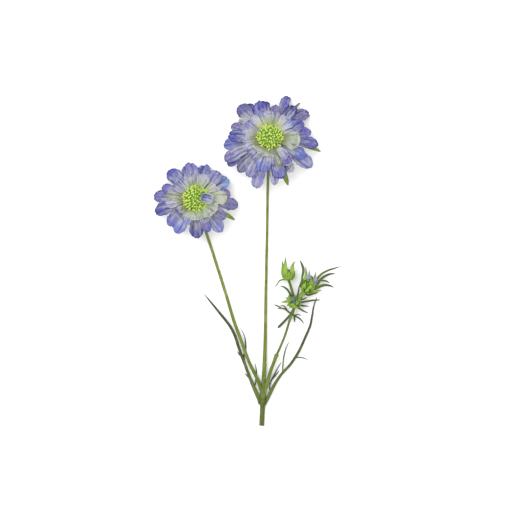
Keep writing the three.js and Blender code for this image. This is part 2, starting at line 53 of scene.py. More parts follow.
FOOTPRINT_MIDDLE = np.array([-13, 148.2, 0.0])
FROM_CUT_END = np.eye(4)
FROM_CUT_END[:3, 3] = -FOOTPRINT_MIDDLE

LOWEST = 0.2  # height of the lowest points above the table
SETTLING = 0.35  # how gently a drooping tip levels out on the table

# Heights of the petals above the middle of their head, as in the part.
LOWEST_LEVEL = -2
LEVEL_STEP = 1.3
RISE = 0.15
DROOP = 0.0135
DROOP_STEP = 0.0025
BRACT_LEVEL = -1.2
CORE_HEIGHT = 3
NECK_DEPTH = 10

PETAL_ROWS = 48
PETAL_COLUMNS = 37
PETAL_THICKNESS = 0.22
PETAL_GAP = 0.4  # from the core of the head to the claw of a petal
CUP = 0.9  # how far the sides of a petal stand up
INNER_HEIGHT = 2.6
INNER_RISE = 1.7
INNER_DROOP = 0.9
INNER_OVERLAP = 1.6  # of the feet of the inner petals under the disc

DISC_RISE = 8
DISC_FLORETS = 165
DISC_SPREAD = math.radians(80)  # how far the outermost florets lean out
FLORET_INSET = 2.9  # from the edge of the disc to the feet of the outermost florets
FLORET_DEPTH = 3.3  # from the top of the disc to the feet of the middle ones
BED_LIFT = 0.3  # of the bed of the florets over the core
BED_INSET = 2.2
BED_DEPTH = 2.6

CUP_RIBS = 12
CUP_RIB_DEPTH = 0.035
BRACT_ROOT = 1.5  # how far inside the cup the bracts begin
NECK = ((2.6, 1.35), (-0.4, 1.7))  # depth below the cup and radius of the end of a stem

STEM_STEP = 1.1  # between the rings of a stem
STEM_RIDGES = 7
RIDGE_DEPTH = 0.045
BLADE_STEP = 0.7
BLADE_COLUMNS = 9
BLADE_EDGE = 0.03  # half the thickness of the edges of a blade

BROAD_BRACT = 1.1  # how much wider than its row says a bract of a bud is
NARROW_BRACT = 0.85
EGG_PROFILE = ((0, 0.2), (0.06, 0.44), (0.2, 0.8), (0.45, 1), (0.8, 0.84), (0.96, 0.46), (1, 0.1))
SCALE_LIFT = 0.35  # of the scales off the bud
BUD_FLORET = 2.4  # length of a floret of a bud

PETAL_GLOW = 1.13  # how much brighter the petals are than their tints, as light passes through them
BRIGHTNESS = 1.5  # of the studio's light, which leaves hardly a shadow on the table
SKY_STRENGTH = 1.09
LIGHTS = {"key": ((-0.65, 0.55, 1.75), 1.5, 23), "fill": ((1.2, -0.6, 1.4), 1.4, 5.6)}
TABLE_SIZE = 24
CAMERA_HEIGHT = 3.84
CAMERA_LENS = 300
CAMERA_POINT = (0.0076, 0.0044)  # the point of the table in the middle of the picture


def blend(a, b, share):
    return a + (b - a) * share


def smoothstep(low, high, value):
    share = np.clip((value - low) / (high - low), 0, 1)
    return share * share * (3 - 2 * share)


def srgb(code):
    """The linear colour that looks like this hex code under the bright light of the studio."""
    values = [int(code[i:i + 2], 16) / 255 for i in (0, 2, 4)]
    linear = [v / 12.92 if v <= 0.04045 else ((v + 0.055) / 1.055) ** 2.4 for v in values]
    return np.array(linear) / BRIGHTNESS


# ---------------------------------------------------------------- colours

PETAL_TINTS = {name: srgb(code) * PETAL_GLOW for name, code in {
    "indigo": "706EC8",
    "navy": "5654B4",
    "violet": "9490DC",
    "mauve": "A49ED0",
    "dark": "7B76B6",
    "blue": "8492E0",
    "cornflower": "9099E4",
    "sky": "AAC8FA",
    "lavender": "B9B7E4",
    "pale": "CFCDEA",
    "grey": "B0B0C4",
    "slate": "9896AC",
    "periwinkle": "BABFEE",
    "white": "E4E7E8",
    "cream": "DCE2BC",
    "lemon": "DADF9E",
    "mint": "C6D4AC",
    "lime": "B7C870",
    "green": "AFBF88",
    "olive": "98A44C",
    "moss": "98A268",
    "sage": "ACB290",
}.items()}
WHITE_RIM = srgb("F6F7F3")
# A darker petal tone: for blotches and dark rims, and for painted shade in the creases and grooves of a
# petal.
CREPE_SHADE = srgb("B4AED2") * BRIGHTNESS
BLUE_BLUSH = srgb("7C8AE2")
GREY_BLUSH = srgb("A6A2B8")
STEM_GREEN = srgb("82943E")
STEM_PALE = srgb("9AA766")
STEM_NODE = srgb("6E7F2C")
STEM_LOW = srgb("616D2A")
NODE_SHADE = srgb("45581C")
PITH = srgb("C9CC9A")
SHOOT_GREEN = srgb("73863E")
LEAF_GREEN = srgb("5C6A3C")
LEAF_TIP = srgb("5E6858")
LEAF_FOOT = srgb("70853F")
LEAF_DARK = srgb("464E3C")
GRASS_GREEN = srgb("748E50")
BRACT_GREEN = srgb("ACD158")
BRACT_TIP = srgb("748640")
CUP_GREEN = srgb("8AA350")
BUD_GREEN = srgb("A2D448")
BUD_SHADE = srgb("5C8A2A")
BUD_BRIGHT = srgb("B4DE56")
BUD_TEAL = srgb("90B486")
BUD_TEAL_LIGHT = srgb("A6C69E")
BUD_LILAC = srgb("C3C5E0")
FLORET_TIP = srgb("F0FF98")
FLORET_MIDDLE = srgb("DAFA6C")
FLORET_FOOT = srgb("AEDA4C")
# Dark green for the bed of the disc and the feet of its florets, partly painted shade in the gaps between
# them.
FLORET_GAP = srgb("74A232")
FLORET_RUST = srgb("B8924A")
STREAK_SHADE = srgb("8E9A78")
PATCH_LIGHT = srgb("FFF3B8")
TABLE_TINTS = (srgb("F7F7F6") * BRIGHTNESS, srgb("F9F9F9") * BRIGHTNESS)

# Narrow blades by kind: the foot, middle and tip tint, and half the width along the blade.
BLADE_TINTS = {
    "long": (SHOOT_GREEN, LEAF_GREEN, LEAF_DARK),
    "leafy": (LEAF_FOOT, LEAF_GREEN, LEAF_TIP),
    "blunt": (LEAF_FOOT, LEAF_GREEN, LEAF_GREEN),
    "lance": (LEAF_GREEN, GRASS_GREEN, LEAF_TIP),
    "sprout": (BRACT_GREEN, SHOOT_GREEN, LEAF_DARK),
    "broad": (BRACT_GREEN, BRACT_GREEN, BRACT_TIP),
}
BLADE_OUTLINES = {
    "long": lambda s: (1.15 - 0.38 * smoothstep(0.05, 0.3, s)) * (1 - s ** 7) ** 0.8 + 0.04,
    "leafy": lambda s: (0.8 + 0.35 * smoothstep(0, 0.2, s)) * (1 - s ** 4) ** 0.8 + 0.08,
    "blunt": lambda s: (1 - s ** 14) ** 0.5 + 0.04,
    "lance": lambda s: (0.5 + 0.55 * smoothstep(0.3, 0.75, s)) * (1 - s ** 5) ** 0.7 + 0.05,
    "broad": lambda s: (0.6 + 0.75 * np.sin(math.pi * s ** 0.8) ** 0.9) * (1 - s ** 2.4) ** 0.9 + 0.05,
}
BLADE_OUTLINES["sprout"] = BLADE_OUTLINES["leafy"]

# ---------------------------------------------------------------- what grows where


# Petals, seen from above: azimuth in degrees anticlockwise from +X, reach from the middle of the
# head, width, level. Then how they look: the colour of the tip and of the foot, the rim from
# white -1 to dark 1, and how crumpled the blade is.
# Inner petals have azimuth, reach, width and lift, and then the same four values.
# Bracts have azimuth, reach, width, how steeply they rise, and the kind of blade with their tints.
LARGE_HEAD = {
    "name": "large_head",
    "place": (7, 257.5, 23.6),
    "tilt": 17,
    "lean": 0,
    "droop": 1,
    "core_radius": 8.5,
    "disc_radius": 12.4,
    "petals": [
        (10, 37.5, 10.5, 1, "violet", "cream", 0.2, 0.6),
        (26, 33.3, 14, 2, "indigo", "white", 0.3, 0.6),
        (37.5, 43, 12.4, 0, "mauve", "grey", 0.7, 0.9),
        (53, 36.9, 12, 3, "navy", "white", 0.7, 1.0),
        (68, 43, 8, 1, "violet", "white", 0.9, 0.5),
        (80.5, 31, 9.4, 2, "mauve", "green", 0.7, 0.3),
        (106, 35.4, 16.4, 3, "indigo", "cream", 1.0, 1.3),
        (130, 41.4, 17, 0, "dark", "white", 0.4, 0.8),
        (146, 32.5, 9, 1, "white", "white", -0.3, 0.3),
        (162, 36.4, 10.4, 2, "mauve", "white", 0.8, 0.8),
        (176, 37.2, 11, 3, "indigo", "white", 0.6, 0.9),
        (188, 41.6, 13, 0, "cornflower", "grey", 0.4, 0.6),
        (205, 45, 12, 1, "mauve", "grey", 0.5, 0.5),
        (213, 44.6, 9, 0, "violet", "grey", 0.8, 0.4),
        (226, 41, 11, 0, "slate", "grey", 0.9, 0.3),
        (240, 39.4, 10.5, 1, "lavender", "white", 0.5, 0.6),
        (254, 46.2, 11.8, 0, "lavender", "white", 0.3, 0.8),
        (256, 31, 14, 3, "cornflower", "white", 0.3, 0.7),
        (276, 41.4, 8.2, 1, "pale", "white", 0.3, 0.5),
        (287.5, 36.9, 14.4, 2, "violet", "green", 1.0, 0.9),
        (304.5, 36, 9, 0, "white", "white", 0.1, 0.2),
        (308, 29.5, 10, 3, "violet", "white", -0.9, 0.8),
        (326, 45, 13, 1, "lavender", "white", 0.5, 0.5),
        (331, 35.4, 13, 2, "blue", "grey", 0.3, 1.0),
        (354, 43.4, 10.4, 0, "violet", "white", 0.9, 0.9),
    ],
    "inner_petals": [
        (20, 23.4, 10, 0.1, "violet", "cream", 0.0, 0.8),
        (38, 25, 8.4, 0.5, "cornflower", "white", 0.0, 0.7),
        (57, 24.6, 8.8, 0.8, "pale", "lemon", 0.0, 0.8),
        (75, 25.5, 7.4, 0.3, "mauve", "green", 0.2, 0.7),
        (92, 25, 8.6, 0.7, "pale", "lime", 0.0, 0.9),
        (110, 26, 8.8, 0.3, "cornflower", "cream", 0.0, 0.9),
        (128, 25.5, 8.4, 0.8, "pale", "lemon", 0.0, 0.8),
        (146, 26, 8.6, 0.4, "violet", "grey", 0.0, 0.8),
        # The sage and moss feet of the next three, on the left of the disc, are painted shade round it.
        (163, 25, 8.8, 0.7, "lavender", "sage", 0.0, 0.8),
        (180, 26, 9.4, 0.3, "lavender", "moss", 0.0, 0.8),
        (198, 24.6, 9.4, 0.7, "pale", "moss", 0.0, 0.8),
        (214, 23.6, 9, 0.1, "violet", "grey", 0.2, 0.8),
        (230, 24, 8, -0.2, "lavender", "grey", 0.2, 0.8),
        (272, 24, 9, -0.2, "lavender", "white", 0.0, 0.8),
        (310, 23.6, 9, 0.1, "violet", "white", -0.3, 0.8),
        (289, 27.6, 4.6, 1.9, "moss", "moss", 0.0, 0.6),
        # The cup on the right is green, partly its own colour and partly painted shade in its hollow.
        (352, 26.6, 17.5, 1.9, "green", "moss", -1.0, 0.8),
        (240, 16.6, 22, 2.3, "sage", "moss", -1.0, 0.9),
    ],
    "bracts": [
        (51, 43.9, 2.9, 0.285, "leafy"),
        (95, 24, 5, 0, "broad"),
        (138, 21, 5, 0, "broad"),
        (195, 25, 5, 0, "broad"),
        (245, 27, 5, 0, "broad"),
        (291, 46, 5.4, 0.1, "broad"),
        (346, 47.2, 4.4, 0.1, "broad"),
    ],
}
SMALL_HEAD = {
    "name": "small_head",
    "place": (-59, 203, 21),
    "tilt": 14,
    "lean": 18,
    "droop": 1.15,
    "core_radius": 8,
    "disc_radius": 12.2,
    "petals": [
        (11, 31, 10.8, 1, "mauve", "green", 0.3, 0.5),
        (33, 34.4, 14, 0, "sky", "pale", 0.2, 0.7),
        (50, 32.6, 13.4, 1, "lavender", "cream", 0.4, 0.5),
        (76, 33.4, 12, 0, "cornflower", "white", 0.7, 1.1),
        (100, 34.2, 15.4, 1, "violet", "white", 0.7, 0.9),
        (132, 37, 13.6, 0, "indigo", "grey", 0.9, 0.6),
        (159.5, 32.6, 9.4, 1, "violet", "grey", 0.8, 0.4),
        (175.5, 38.5, 11.4, 0, "violet", "olive", 0.9, 0.8),
        (196, 38.5, 11.6, 1, "indigo", "white", 0.9, 0.7),
        (221, 33.8, 11.4, 0, "violet", "green", 0.5, 0.6),
        (240, 35, 11.4, 1, "cornflower", "white", 0.4, 0.4),
        (270, 34.4, 12.4, 0, "dark", "grey", 0.9, 1.0),
        (292, 31, 9.6, 1, "violet", "grey", 0.6, 0.8),
        (310, 36.8, 11.6, 0, "periwinkle", "white", 0.3, 0.7),
        (329, 31, 9.4, 1, "mauve", "white", 0.3, 1.0),
        (352, 37.9, 11.4, 0, "mauve", "sage", 0.7, 0.5),
    ],
    "inner_petals": [
        (24, 23, 9, 0.3, "white", "lime", 0.0, 0.7),
        (66, 24, 9.6, 0.3, "pale", "mint", 0.0, 0.8),
        (88, 23.6, 8, 0.7, "lavender", "lime", 0.0, 0.8),
        (108, 24.4, 8.8, 0.4, "lavender", "sage", 0.2, 0.9),
        (127, 23.6, 8.6, 0.8, "violet", "mint", 0.2, 0.9),
        (148, 24, 8.4, 0.4, "mauve", "grey", 0.3, 0.8),
        (172, 27, 8.6, 0.8, "sage", "moss", 0.0, 0.6),
        (190, 27, 8.4, 0.5, "pale", "moss", 0.0, 0.7),
        (214, 21, 8, 0.6, "dark", "olive", 0.5, 1.0),
        (232, 21, 8, 0.2, "grey", "olive", 0.2, 0.8),
        (248, 23.6, 9, 0.4, "cornflower", "mint", 0.0, 0.7),
        (296, 23, 9, 0.2, "pale", "cream", 0.0, 0.9),
        (3, 27.6, 13, 1.1, "cream", "lime", 0.0, 0.5),
        (35, 21.6, 8.4, 1.5, "white", "lemon", -0.6, 0.9),
        (266, 18.8, 20, 1.6, "mint", "green", -0.9, 1.0),
        (322, 20.8, 17, 1.9, "cream", "mint", -1.0, 1.3),
    ],
    "bracts": [
        (30, 23, 4.6, 0, "broad"),
        (80, 22, 4.6, 0, "broad"),
        (130, 23, 4.6, 0, "broad"),
        (180, 23, 4.6, 0, "broad"),
        (229, 33, 4.2, 0.1, "broad"),
        (285, 23, 4.6, 0, "broad"),
        (332, 39.4, 4.4, 0.1, "broad"),
    ],
}
CURLED_PETAL = {
    "azimuth": -12,
    "width": 8.6,
    "shade": 0.55,
    "rim": -0.7,
    "profile": [(15.6, 7.4), (16.8, 10.4), (15, 13), (11.6, 13.8), (8, 13.6), (5.4, 13)],
}

# Stems as (x, y, z, radius) rows.
MAIN_STEM = [
    (-0.3, 0, 2.2, 2.2), (0.4, 14, 2.3, 2.1), (0.6, 20, 2.6, 2.4), (0.7, 25, 3.1, 3.1),
    (0.9, 31, 3.2, 2.4), (1.5, 41, 3.4, 1.8), (2.6, 68, 4.1, 1.6), (3.1, 95, 4.8, 1.4),
    (3.5, 122, 5.4, 1.3), (4.6, 176, 6.8, 1.2), (5.2, 214, 7.6, 1.2), (6.2, 243, 8.4, 1.3),
]
LEFT_STEM = [
    (0, 30, 3.2, 1.7), (-3.8, 41, 3.5, 1.6), (-11.8, 57.5, 4, 1.5), (-19, 77, 4.2, 1.5),
    (-25.4, 94.5, 4.4, 1.45), (-32.4, 118, 4.6, 1.35), (-41.2, 146, 4.8, 1.3),
    (-50.4, 174.5, 5.1, 1.3), (-54.6, 188, 5.5, 1.3),
]
SHOOT_SOCKET = [
    (1.4, 28, 3.2, 1.7), (5.4, 41, 4.1, 1.55), (8, 50, 4.8, 1.5), (10.7, 57.2, 5.4, 1.5),
    (12.1, 61.2, 5.8, 1.55), (12.4, 62, 5.9, 1.9), (13.4, 64.4, 6, 1.9),
]
SHOOT_STEM = [
    (13.0, 63.4, 5.9, 1.1), (17.1, 72.5, 6.6, 1.1), (20.4, 80.6, 7, 1.1),
    (23, 88.7, 7.2, 1.1), (25.4, 96.6, 7.2, 1.1), (26.6, 100.6, 7.1, 2), (28, 103.4, 7, 1.3),
    (29.2, 108, 7, 1.5),
]
WHORL_NODE = (26.8, 100.8, 6.6)

# Leaves: (width, kind, path) strips, the first one the blade and the others its side lobes.
LEAVES = {
    "left_leaf": [
        (3.2, "long", [(-1.3, 19.6, 2.8), (-2.6, 24, 2.6), (-6.8, 33.5, 2.6), (-10.8, 43, 2.4),
            (-14.4, 52.5, 2), (-20.5, 69, 1.6), (-24.4, 81, 1.6), (-28.8, 89.5, 2),
            (-37.8, 101, 2.6), (-46.8, 112, 2.2), (-52.6, 119, 0.9)]),
        (1.3, "leafy", [(-10.8, 43, 2.2), (-14.2, 53, 1.6), (-16.4, 62, 1.2), (-14.8, 69, 1.3),
            (-15.4, 79, 2.2), (-17.5, 84.5, 3), (-19.8, 88, 3.2)]),
        (1, "leafy", [(-10.2, 41.5, 2.2), (-13, 44.5, 2.4), (-15.8, 47.2, 1.6)]),
        (0.9, "leafy", [(-18.6, 62, 1.7), (-20.8, 64.6, 2), (-22.4, 67, 1.4)]),
        (0.95, "leafy", [(-6.8, 34, 2.4), (-5.9, 39, 1.6), (-5.2, 44, 1), (-5, 49, 0.8),
            (-6.4, 57, 0.8)]),
    ],
    "right_leaf": [
        (2.9, "long", [(1.8, 18.8, 2.8), (3.9, 22.9, 2.6), (6.9, 28.6, 2.6), (9.9, 34.6, 2.5),
            (13.6, 41, 2.4), (17.2, 46, 2.3), (20.8, 50, 2.2), (25.4, 55, 2.2), (30.8, 63, 2.2),
            (34.2, 69, 2.4), (37.8, 77, 2.8), (41, 84.2, 3), (43.5, 90.6, 3), (45.2, 99.5, 2.6),
            (46.2, 106, 2), (49.5, 116, 0.9)]),
        (0.9, "leafy", [(30, 61.2, 2.2), (34.2, 61.4, 2.6), (37.8, 60.8, 2.2), (41.8, 59, 1)]),
        (1, "leafy", [(18.4, 48.6, 2.2), (18.9, 56, 2.6), (19.8, 63, 3), (22, 70.8, 2.4),
            (25, 76.2, 1.2)]),
        (1, "leafy", [(7.2, 29, 2.4), (7, 36.5, 1.8), (9.6, 43, 1.2), (12.8, 49.2, 1),
            (17.4, 57.6, 1)]),
        (0.85, "leafy", [(9.4, 41.6, 1.3), (12.8, 46, 0.9), (15.8, 50, 0.9)]),
    ],
    "whorl_leaf_blunt": [
        (2.1, "blunt", [WHORL_NODE, (25, 99.2, 5), (20, 93.7, 3.6), (14, 87.8, 1.6)]),
    ],
    "whorl_leaf_forked": [
        (1.3, "leafy", [WHORL_NODE, (25, 101.5, 5.2), (20.7, 104.9, 4.6), (17.1, 105.6, 3.6),
            (13.5, 104.9, 1.8)]),
        (1, "leafy", [(17.6, 105.6, 3.8), (14.4, 107.4, 2.6), (10.6, 109.1, 1)]),
        (1, "leafy", [(23.2, 103, 5), (21.1, 106.3, 5.4), (19.2, 107.8, 5), (15.8, 107.7, 3.6)]),
    ],
    "whorl_leaf_right": [
        (1.2, "leafy", [WHORL_NODE, (28.2, 99.4, 5.2), (33.3, 96.8, 4.4), (36, 94.1, 2.8),
            (37.8, 91.4, 0.9)]),
        (0.9, "leafy", [WHORL_NODE, (28.8, 99.2, 5.2), (32.4, 100.1, 4.4), (35.8, 98.8, 3)]),
        (1.4, "leafy", [WHORL_NODE, (28.8, 99.2, 4.9), (29.2, 96, 3.4), (29.3, 92.7, 1.2)]),
    ],
}

# Buds: an egg from base to crown, its stalk as (radius, tint, path), the bracts round it as
# (width, kind, path), and the lilac petals that begin to show as (width, path). Scales are given as
# how many, how far up the bud they begin, their width and tints; florets as how many, how far they
# face up, how far they spread in radians, and their tints.
LOWER_BUD = {
    "node": "lower_bud",
    "base": (29.6, 105.9, 6.2),
    "crown": (28.8, 116.8, 11.4),
    "radius": 5.3,
    "stalk": None,
    "egg": (BUD_SHADE, BUD_SHADE * 0.7),
    "scales": (13, 0.46, 3.3, (BRACT_GREEN, BUD_GREEN, BRACT_GREEN, BRACT_TIP)),
    "florets": (40, 1.6, 0.72, (BUD_TEAL, BUD_TEAL * 0.7, BUD_TEAL_LIGHT, BUD_TEAL * 0.5)),
    "petals": [],
    "bracts": [
        (1.7, "leafy", [(32.6, 110.4, 6), (40.5, 111.9, 5), (45.9, 112.8, 4), (53.6, 113.1, 2.4)]),
        (1.5, "leafy", [(31, 108.6, 5.4), (37.8, 107.8, 4.2), (42.3, 107.3, 2.8)]),
        (1.5, "leafy", [(30.4, 107.6, 5), (36.9, 103.4, 3.6), (41.9, 101.1, 1.8)]),
        (1.6, "leafy", [(31, 113, 7), (36.6, 113.8, 7.4), (40.7, 115.5, 6.4)]),
        (1.8, "leafy", [(27.6, 113, 6), (24, 120.8, 5.4), (21.2, 123.8, 5), (18.9, 125, 4.2),
            (16.2, 125.6, 3)]),
        (2.2, "broad", [(28, 110.5, 6), (24, 112.3, 7.6), (20.7, 111.5, 7), (16.6, 111.2, 5.2)]),
        (2.2, "broad", [(28, 111.5, 7.4), (24, 114.2, 9.4), (20.8, 115.3, 9)]),
        (2.2, "broad", [(28, 108.6, 6.4), (24.6, 109.2, 7.4), (22.2, 107.6, 6.4)]),
        (3.2, "broad", [(30.6, 107, 8.4), (33, 110.2, 11.2), (33.6, 113.6, 13),
            (32.6, 116.6, 12.6)]),
        (3.4, "broad", [(28.4, 107.6, 8), (25.6, 110.6, 11), (24.2, 114.6, 12.5),
            (24.6, 118.6, 12)]),
        (1.5, "leafy", [(30.6, 113.6, 5.6), (32.6, 119.6, 5), (33.2, 123.5, 5), (34.2, 128, 5.8)]),
    ],
}
UPPER_BUD = {
    "node": "upper_bud",
    "base": (23.8, 130.6, 6.4),
    "crown": (23.4, 140.6, 7.8),
    "radius": 4.6,
    "stalk": (1.2, SHOOT_GREEN,
              [(28.8, 113, 8.4), (27.6, 118.8, 6.8), (26.1, 124.2, 6.4), (23.8, 131.6, 6.4)]),
    "egg": (BUD_GREEN, BUD_SHADE * 0.7),
    "scales": (9, 0.3, 3.4, (BUD_BRIGHT, BUD_GREEN, BUD_BRIGHT)),
    "florets": None,
    "petals": [],
    "bracts": [
        (2.8, "broad", [(22.4, 131.8, 7.6), (19.2, 136.6, 9), (18.9, 142.8, 9.4),
            (17.9, 149.2, 8.6)]),
        (2.6, "broad", [(23, 132.6, 9.6), (21.2, 138.6, 11.8), (20.9, 146, 11.2),
            (21.5, 152.8, 9.2)]),
        (3, "broad", [(25, 132, 9), (27, 137.6, 10.6), (27.2, 142.8, 10.4), (28.5, 146.4, 9.8),
            (30.6, 148, 9)]),
        (2.8, "broad", [(24.6, 132, 6.6), (28, 135, 7.2), (29.6, 139, 7.6)]),
        (2.4, "broad", [(23, 132, 6), (19.4, 134.4, 6), (17.4, 138.6, 6.4)]),
        (1.1, "leafy", [(22.6, 131.2, 5.4), (18, 131.2, 4.6), (15.6, 130.2, 4), (13.8, 127.5, 3),
            (11.4, 124.7, 1.2)]),
        (4.4, "broad", [(24, 131.4, 8.6), (24, 135.2, 11.8), (23.9, 140, 12)]),
        (3, "broad", [(23.6, 131, 4.4), (23.2, 136.5, 2.2), (22.6, 142.4, 1.6)]),
    ],
}
FLOWERING_BUD = {
    "node": "flowering_bud",
    "base": (38.6, 119.8, 7.4),
    "crown": (43.6, 135, 10.6),
    "radius": 6.3,
    "stalk": (2.1, BRACT_GREEN * 0.8,
              [(31, 112.4, 8.4), (34.6, 116.6, 7), (36.4, 118.6, 7.2), (39.4, 122, 7.6)]),
    "egg": (BUD_SHADE, BUD_SHADE * 0.6),
    "scales": (17, 0.5, 2.7, (BUD_BRIGHT, BUD_GREEN, BRACT_TIP, BUD_BRIGHT)),
    "florets": (22, 0.9, 1.1, (BUD_BRIGHT, BUD_GREEN, BUD_SHADE)),
    "petals": [
        (2.6, [(42.4, 128.6, 13), (41.4, 132.4, 14.6), (40.4, 136, 14.2)]),
        (2.4, [(42.6, 128.8, 12.8), (43, 132.4, 14.2), (43, 135.6, 13.6)]),
        (1.2, [(41.6, 132.6, 13.4), (42.3, 136.8, 13.4), (43.4, 141, 12.4)]),
        (2.6, [(46, 126.8, 12.4), (47.8, 130.8, 13.8), (48.7, 135, 13.2)]),
        (2.2, [(45.4, 126.6, 12.2), (46.2, 130.2, 13.4), (46.6, 133.6, 13)]),
        (2.2, [(46.6, 126.8, 11.8), (48.8, 129.2, 12.6), (50, 132.4, 12.2)]),
    ],
    "bracts": [
        (3, "lance", [(38, 121, 7.4), (35.6, 126, 7.6), (36, 133, 8.4), (37.2, 140, 8.6),
            (36, 144.6, 7.8), (34, 149, 6.4)]),
        (2.6, "broad", [(39.4, 122, 9.4), (38.6, 128.6, 13), (39.6, 137, 13.6), (39, 143.8, 12.4)]),
        (3.4, "broad", [(40.4, 121.4, 9.6), (43.6, 127.4, 14.2), (44.9, 134.6, 14.6)]),
        (2.4, "broad", [(41, 122, 8.6), (46.6, 129, 11.4), (47.6, 135, 11.8), (48.7, 139.2, 11)]),
        (2, "sprout", [(41, 122.4, 7), (48, 130.2, 8), (53.1, 136.1, 8.4), (59.4, 139.7, 7.6),
            (65.3, 141.6, 5.6), (71.1, 143.4, 2.4)]),
        (2.6, "sprout", [(40.6, 121, 6.4), (47.9, 125.4, 6.2), (52.2, 131, 6.2), (56.7, 134.6, 5.6),
            (61.2, 136.4, 4.4), (66, 136.9, 2.4)]),
        (1.4, "leafy", [(52, 130.6, 6.2), (57.6, 130.1, 4.6), (60.9, 128.3, 2.6)]),
        (2.4, "sprout", [(40.4, 120.6, 6), (49.5, 123.9, 5), (53.1, 125.7, 4.6), (57.6, 126.5, 4),
            (62.1, 125.6, 2.8), (64.8, 124.1, 1.2)]),
        (2.4, "broad", [(39.6, 119.8, 7.2), (45, 120.8, 7.6), (48.6, 121.1, 6.8), (54, 121.7, 5)]),
        (1.8, "leafy", [(38, 119, 5.6), (41.4, 117.5, 4.6), (45.9, 118.8, 3.4),
            (50.4, 119.8, 1.6)]),
    ],
}


# ---------------------------------------------------------------- meshes

def unit(vector):
    vector = np.asarray(vector, float)
    return vector / np.linalg.norm(vector, axis=-1, keepdims=True)


def round_turn(sides):
    """The angles of the points of a ring."""
    return np.linspace(0, 2 * math.pi, sides, endpoint=False)


def distances(path):
    """How far along a path each of its points lies."""
    return np.r_[0, np.cumsum(np.linalg.norm(np.diff(path, axis=0), axis=1))]


def smooth_path(points, count):
    """That many points, evenly spaced along a centripetal Catmull-Rom curve."""
    points = np.array(points, float)
    points = np.vstack([2 * points[0] - points[1], points, 2 * points[-1] - points[-2]])
    dense = []
    share = np.linspace(0, 1, 24)[:, None]
    for a, b, c, d in zip(points, points[1:], points[2:], points[3:]):
        before, here, after = (max(1e-6, math.sqrt(np.linalg.norm(step))) for step in (b - a, c - b, d - c))
        leave = ((b - a) / before - (c - a) / (before + here) + (c - b) / here) * here
        arrive = ((c - b) / here - (d - b) / (here + after) + (d - c) / after) * here
        dense.append(b + leave * share + (-3 * b + 3 * c - 2 * leave - arrive) * share ** 2
                     + (2 * b - 2 * c + leave + arrive) * share ** 3)
    dense = np.vstack(dense)
    steps = distances(dense)
    wanted = np.linspace(0, steps[-1], count)
    return np.stack([np.interp(wanted, steps, dense[:, k]) for k in range(3)], axis=1)


def frames(centres, hint):
    """The directions upward and sideways at each point of a curve."""
    along = unit(np.gradient(centres, axis=0))
    upward = unit(hint - along * (along @ hint)[:, None])
    return upward, np.cross(upward, along)


def outward_at(angle, side, other):
    """The direction at this angle round an axis, in the plane of two directions."""
    return side * math.cos(angle) + other * math.sin(angle)


def rings_round(centres, side, other, radius, turn):
    """Rings of points round an axis, in the plane of two directions."""
    side, other = np.expand_dims(side, -2), np.expand_dims(other, -2)
    return (centres[:, None] + side * (radius * np.cos(turn))[..., None]
            + other * (radius * np.sin(turn))[..., None])


def settled(points):
    """The points, with any that would sink into the table laid on it."""
    points = points.copy()
    points[:, 2] = LOWEST + SETTLING * np.logaddexp(0, (points[:, 2] - LOWEST) / SETTLING)
    return points


def new_mesh(name, points, faces, matrix):
    """A smooth mesh of points in millimetres, which the matrix takes to their place on the table."""
    turn = np.array(matrix)
    points = settled(points @ turn[:3, :3].T + turn[:3, 3])
    mesh = bpy.data.meshes.new(name)
    mesh.from_pydata((points * MM).tolist(), [], faces)
    mesh.shade_smooth()
    return mesh


def store(mesh, name, kind, values):
    """Keeps values on the vertices of a mesh, where its material reads them."""
    if kind == "FLOAT_COLOR":
        values = np.column_stack([values, np.ones(len(values))])
    field = {"FLOAT": "value", "FLOAT_VECTOR": "vector", "FLOAT_COLOR": "color"}[kind]
    mesh.attributes.new(name, kind, "POINT").data.foreach_set(field, np.ravel(values))


def place(name, mesh, material, nodes):
    mesh.materials.append(material)
    piece = bpy.data.objects.new(name, mesh)
    bpy.context.scene.collection.objects.link(piece)
    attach(piece, BODY)
    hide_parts(*nodes)
    return piece


class Sculpture:
    """Closed tubes with a tint and a grain at every point, gathered for one piece."""

    def __init__(self):
        self.points, self.faces, self.tints, self.grains = [], [], [], []
        self.count = 0

    def add_tube(self, rings, ends, tints, end_tints, grain=None, end_grain=None):
        """A tube of rings, closed by a fan round each end point. Its grain is its points, unless given."""
        rows, sides = rings.shape[:2]
        points = np.vstack([rings.reshape(-1, 3), ends])
        grain = points if grain is None else np.vstack([grain.reshape(-1, 3), end_grain])
        first, start, last = self.count, self.count + rows * sides, self.count + (rows - 1) * sides
        following = [(j, (j + 1) % sides) for j in range(sides)]
        for ring in range(first, last, sides):
            self.faces += [(ring + j, ring + k, ring + sides + k, ring + sides + j) for j, k in following]
        for j, k in following:
            self.faces += [(start, first + k, first + j), (start + 1, last + j, last + k)]
        self.points.append(points)
        self.tints.append(np.vstack([np.broadcast_to(tints, rings.shape).reshape(-1, 3), end_tints]))
        self.grains.append(grain)
        self.count += len(points)

    def piece(self, name, material, slot, nodes, matrix=FROM_CUT_END):
        """The finished piece, which rides on the spray and stands for these nodes."""
        mesh = new_mesh(name, np.vstack(self.points), self.faces, matrix)
        store(mesh, "tint", "FLOAT_COLOR", np.vstack(self.tints))
        store(mesh, "grain", "FLOAT_VECTOR", np.vstack(self.grains))
        return place(name, mesh, material, nodes)


